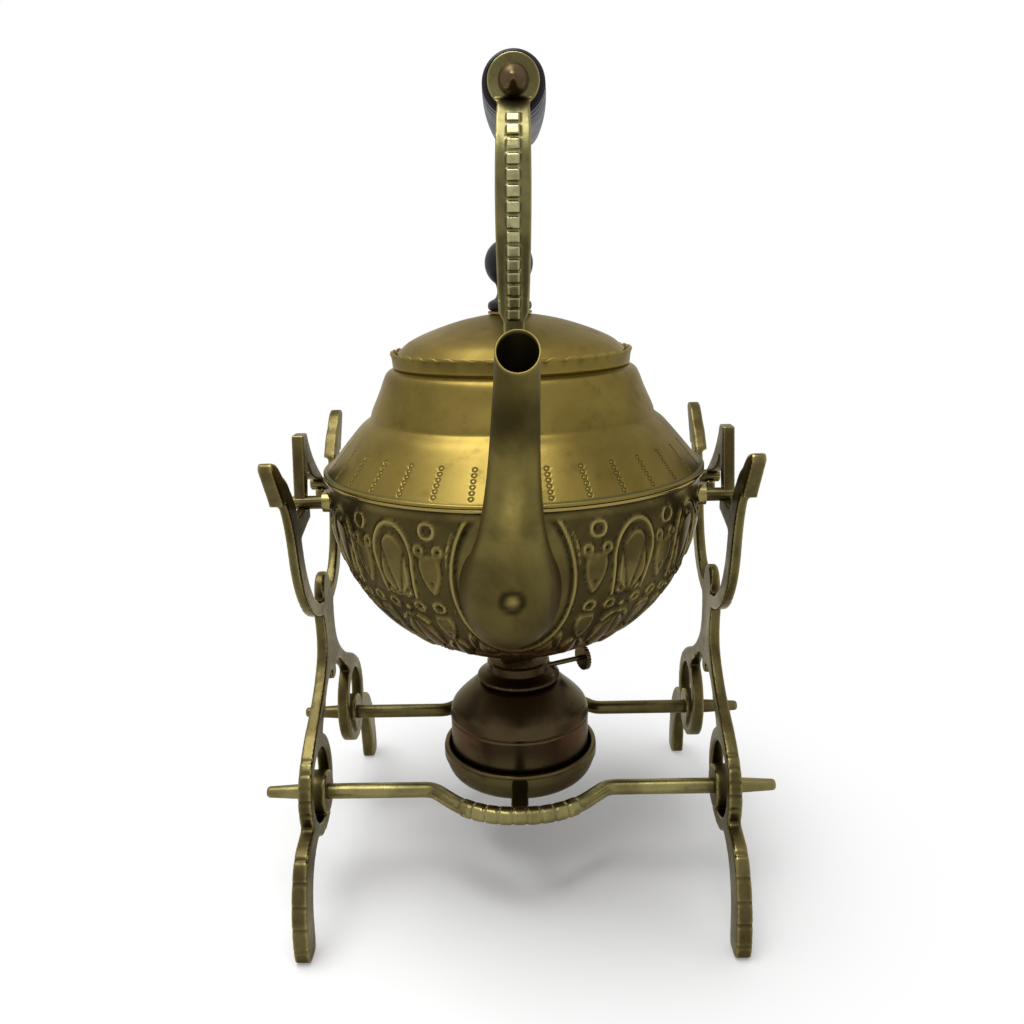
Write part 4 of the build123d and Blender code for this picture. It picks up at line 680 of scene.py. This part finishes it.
# the flush colour is the pale brightness painted on the bead tops: wear and a painted highlight
BAR = weathered("handle_brass", bright=(0.165, 0.148, 0.062), dull=(0.095, 0.082, 0.033),
                grime_and_shade=(0.018, 0.014, 0.007), gloss=0.25, patch=50.0, dirt=0.3, edges=0.7, wear_and_highlight_gain=2.4,
                flush_and_highlight=(0.44, 0.43, 0.23))
for arm in ("front_handle_arm", "rear_handle_arm"):
    bar = casting(arm, ARM_CELL, ARM_WEAR)
    points = np.empty(len(bar.data.vertices) * 3)
    bar.data.vertices.foreach_get("co", points)
    points = points.reshape(-1, 3) / MM
    facing = np.empty(points.size)
    bar.data.vertex_normals.foreach_get("vector", facing)
    facing = facing.reshape(-1, 3)
    across = points[:, 0] - HANDLE_SHIFT - math.tan(HANDLE_LEAN) * (points[:, 2] - HANDLE_FOOT_Z)
    from_arch = points[:, 1:] - [KETTLE_Y / MM, ARCH_Z]
    outward = (facing[:, 1:] * from_arch).sum(axis=1) / np.hypot(*from_arch.T)
    # outward faces of the beads are painted bright, fading towards the kettle: wear and a painted highlight
    worn_and_highlit = rise(-np.abs(across), -BEAD_OUT, -BEAD_IN) * rise(outward, 0.35, 0.65)
    worn_and_highlit *= rise(points[:, 2], BEADS_FROM_Z, BEADS_FROM_Z + 2.0)
    worn_and_highlit *= rise(-points[:, 2], -BEADS_TO_Z, -BEADS_TO_Z + 3.0)
    worn_and_highlit *= 0.35 + 0.65 * rise(points[:, 2], BEADS_FROM_Z + 5.0, BEADS_FROM_Z + 23.0)
    bar.data.attributes.new("stain", "FLOAT", "POINT").data.foreach_set("value", worn_and_highlit)
    fit(bar, BAR, "kettle", arm)

# ---------------------------------------------------------------- grip and its rod
# The grip is turned from the same black wood as the knob. A brass rod runs through it and both eyes,
# and pointed nuts, gone brown, hold it.

NOSE = weathered("finial_brass", bright=(0.105, 0.072, 0.036), dull=(0.065, 0.043, 0.022),
                 grime_and_shade=(0.02, 0.014, 0.01), gloss=0.24, patch=60.0, dirt=0.3)
finish(EBONY, "handle_grip")
finish(SHEET, "handle_rod")
finish(NOSE, "front_finial", "rear_finial")

# ---------------------------------------------------------------- brackets and pins
# Cast brackets soldered on the kettle's sides, each with a front pin that it tilts on and a rear pin
# that rests in the frame.

BRACKET_WEAR = 6

for bracket in ("pivot_bracket_left", "pivot_bracket_right"):
    fit(casting(bracket, ROD_CELL, BRACKET_WEAR), CAST, "kettle", bracket)
finish(CAST, "front_pivot_pins", "rear_rest_pins")

# ---------------------------------------------------------------- lid's hinge, bezel and screw
# Sheet brass like the lid: the strap and knuckles of its hinge, the bezel under it, and the washer and
# screw that hold the knob.

finish(SHEET, "lid_hinge_strap", "lid_hinge_knuckles", "lid_hinge_pin", "lid_bezel", "knob_washer", "knob_screw")

# ---------------------------------------------------------------- floor, lights and camera
# A white sweep under one big soft box overhead and a white room all round, as in a catalogue studio.
# Further out the floor turns to plain white for the camera and for what the brass mirrors.

FLOOR_HALF = 4.0
SHADOW_REACH = (0.06, 0.19)     # the floor goes over to plain white between these distances
ROOM_LIGHT = 0.62               # strength of the room as light, where 1 is the white that is seen

floor_mesh = bpy.data.meshes.new("sweep")
floor_mesh.from_pydata([(-FLOOR_HALF, -FLOOR_HALF, 0), (FLOOR_HALF, -FLOOR_HALF, 0),
                        (FLOOR_HALF, FLOOR_HALF, 0), (-FLOOR_HALF, FLOOR_HALF, 0)], [], [(0, 1, 2, 3)])
sweep = bpy.data.objects.new("sweep", floor_mesh)
bpy.context.scene.collection.objects.link(sweep)
white = bpy.data.materials.new("sweep_white")
white.use_nodes = True
paper = white.node_tree
paper.nodes.clear()
where = put(paper, "ShaderNodeTexCoord", {}).outputs["Object"]
distance = put(paper, "ShaderNodeVectorMath", {0: where}, operation="LENGTH").outputs["Value"]
far_off = put(paper, "ShaderNodeMapRange", {"Value": distance, "From Min": SHADOW_REACH[0],
                                            "From Max": SHADOW_REACH[1]}, interpolation_type="SMOOTHSTEP")
rays = put(paper, "ShaderNodeLightPath", {}).outputs
seen = put(paper, "ShaderNodeMath", {0: rays["Is Camera Ray"], 1: rays["Is Glossy Ray"]}, operation="MAXIMUM")
faded = put(paper, "ShaderNodeMath", {0: far_off.outputs["Result"], 1: seen.outputs["Value"]},
            operation="MULTIPLY")
matt = put(paper, "ShaderNodeBsdfDiffuse", {"Color": (0.93, 0.93, 0.93, 1.0)})
plain_white = put(paper, "ShaderNodeEmission", {})
floor_mix = put(paper, "ShaderNodeMixShader", {"Fac": faded.outputs["Value"], 1: matt.outputs["BSDF"],
                                               2: plain_white.outputs["Emission"]})
put(paper, "ShaderNodeOutputMaterial", {"Surface": floor_mix.outputs["Shader"]})
floor_mesh.materials.append(white)

world = bpy.data.worlds.new("studio")
bpy.context.scene.world = world
world.use_nodes = True
room = world.node_tree
room.nodes.clear()
rays = put(room, "ShaderNodeLightPath", {}).outputs
seen = put(room, "ShaderNodeMath", {0: rays["Is Camera Ray"], 1: rays["Is Glossy Ray"]}, operation="MAXIMUM")
seen = put(room, "ShaderNodeMath", {0: seen.outputs["Value"], 1: rays["Is Transmission Ray"]},
           operation="MAXIMUM")
strength = put(room, "ShaderNodeMapRange", {"Value": seen.outputs["Value"], "To Min": ROOM_LIGHT, "To Max": 1.0})
glow = put(room, "ShaderNodeBackground", {"Color": (1.0, 1.0, 1.0, 1.0), "Strength": strength.outputs["Result"]})
put(room, "ShaderNodeOutputWorld", {"Surface": glow.outputs["Background"]})

BOX_AT = Vector((-0.15, -0.1, 0.9))
BOX_AIM = Vector((0, 0, 0.15))
lamp = bpy.data.lights.new("overhead_box", "AREA")
lamp.shape = "RECTANGLE"
lamp.size = 0.7
lamp.size_y = 0.5
lamp.energy = 6.0
box = bpy.data.objects.new("overhead_box", lamp)
box.location = BOX_AT
box.rotation_euler = (BOX_AIM - BOX_AT).to_track_quat("-Z", "Y").to_euler()
bpy.context.scene.collection.objects.link(box)

# The camera stands a little above the handle and looks down at the spout.
FOCAL_PX = 929.42
IMAGE_PX = 1024
SENSOR_MM = 36.0
PITCH, ROLL, YAW = (math.radians(angle) for angle in (14.73, 1.42, -1.04))
EYE = Vector((-1.05 * MM, -341.64 * MM, 229.39 * MM))

to_object = Matrix.Rotation(-YAW, 3, "Z")
right = Vector((1, 0, 0))
up = Vector((0, math.sin(PITCH), math.cos(PITCH)))
ahead = Vector((0, math.cos(PITCH), -math.sin(PITCH)))
camera_x = right * math.cos(ROLL) - up * math.sin(ROLL)
camera_y = right * math.sin(ROLL) + up * math.cos(ROLL)
axes = Matrix((camera_x, camera_y, -ahead)).transposed()
lens = bpy.data.cameras.new("camera")
lens.sensor_width = SENSOR_MM
lens.lens = FOCAL_PX * SENSOR_MM / IMAGE_PX
camera = bpy.data.objects.new("camera", lens)
camera.matrix_world = Matrix.Translation(to_object @ EYE + Vector((0, KETTLE_Y, 0))) @ (to_object @ axes).to_4x4()
bpy.context.scene.collection.objects.link(camera)
bpy.context.scene.camera = camera
bpy.context.scene.view_settings.view_transform = "Standard"
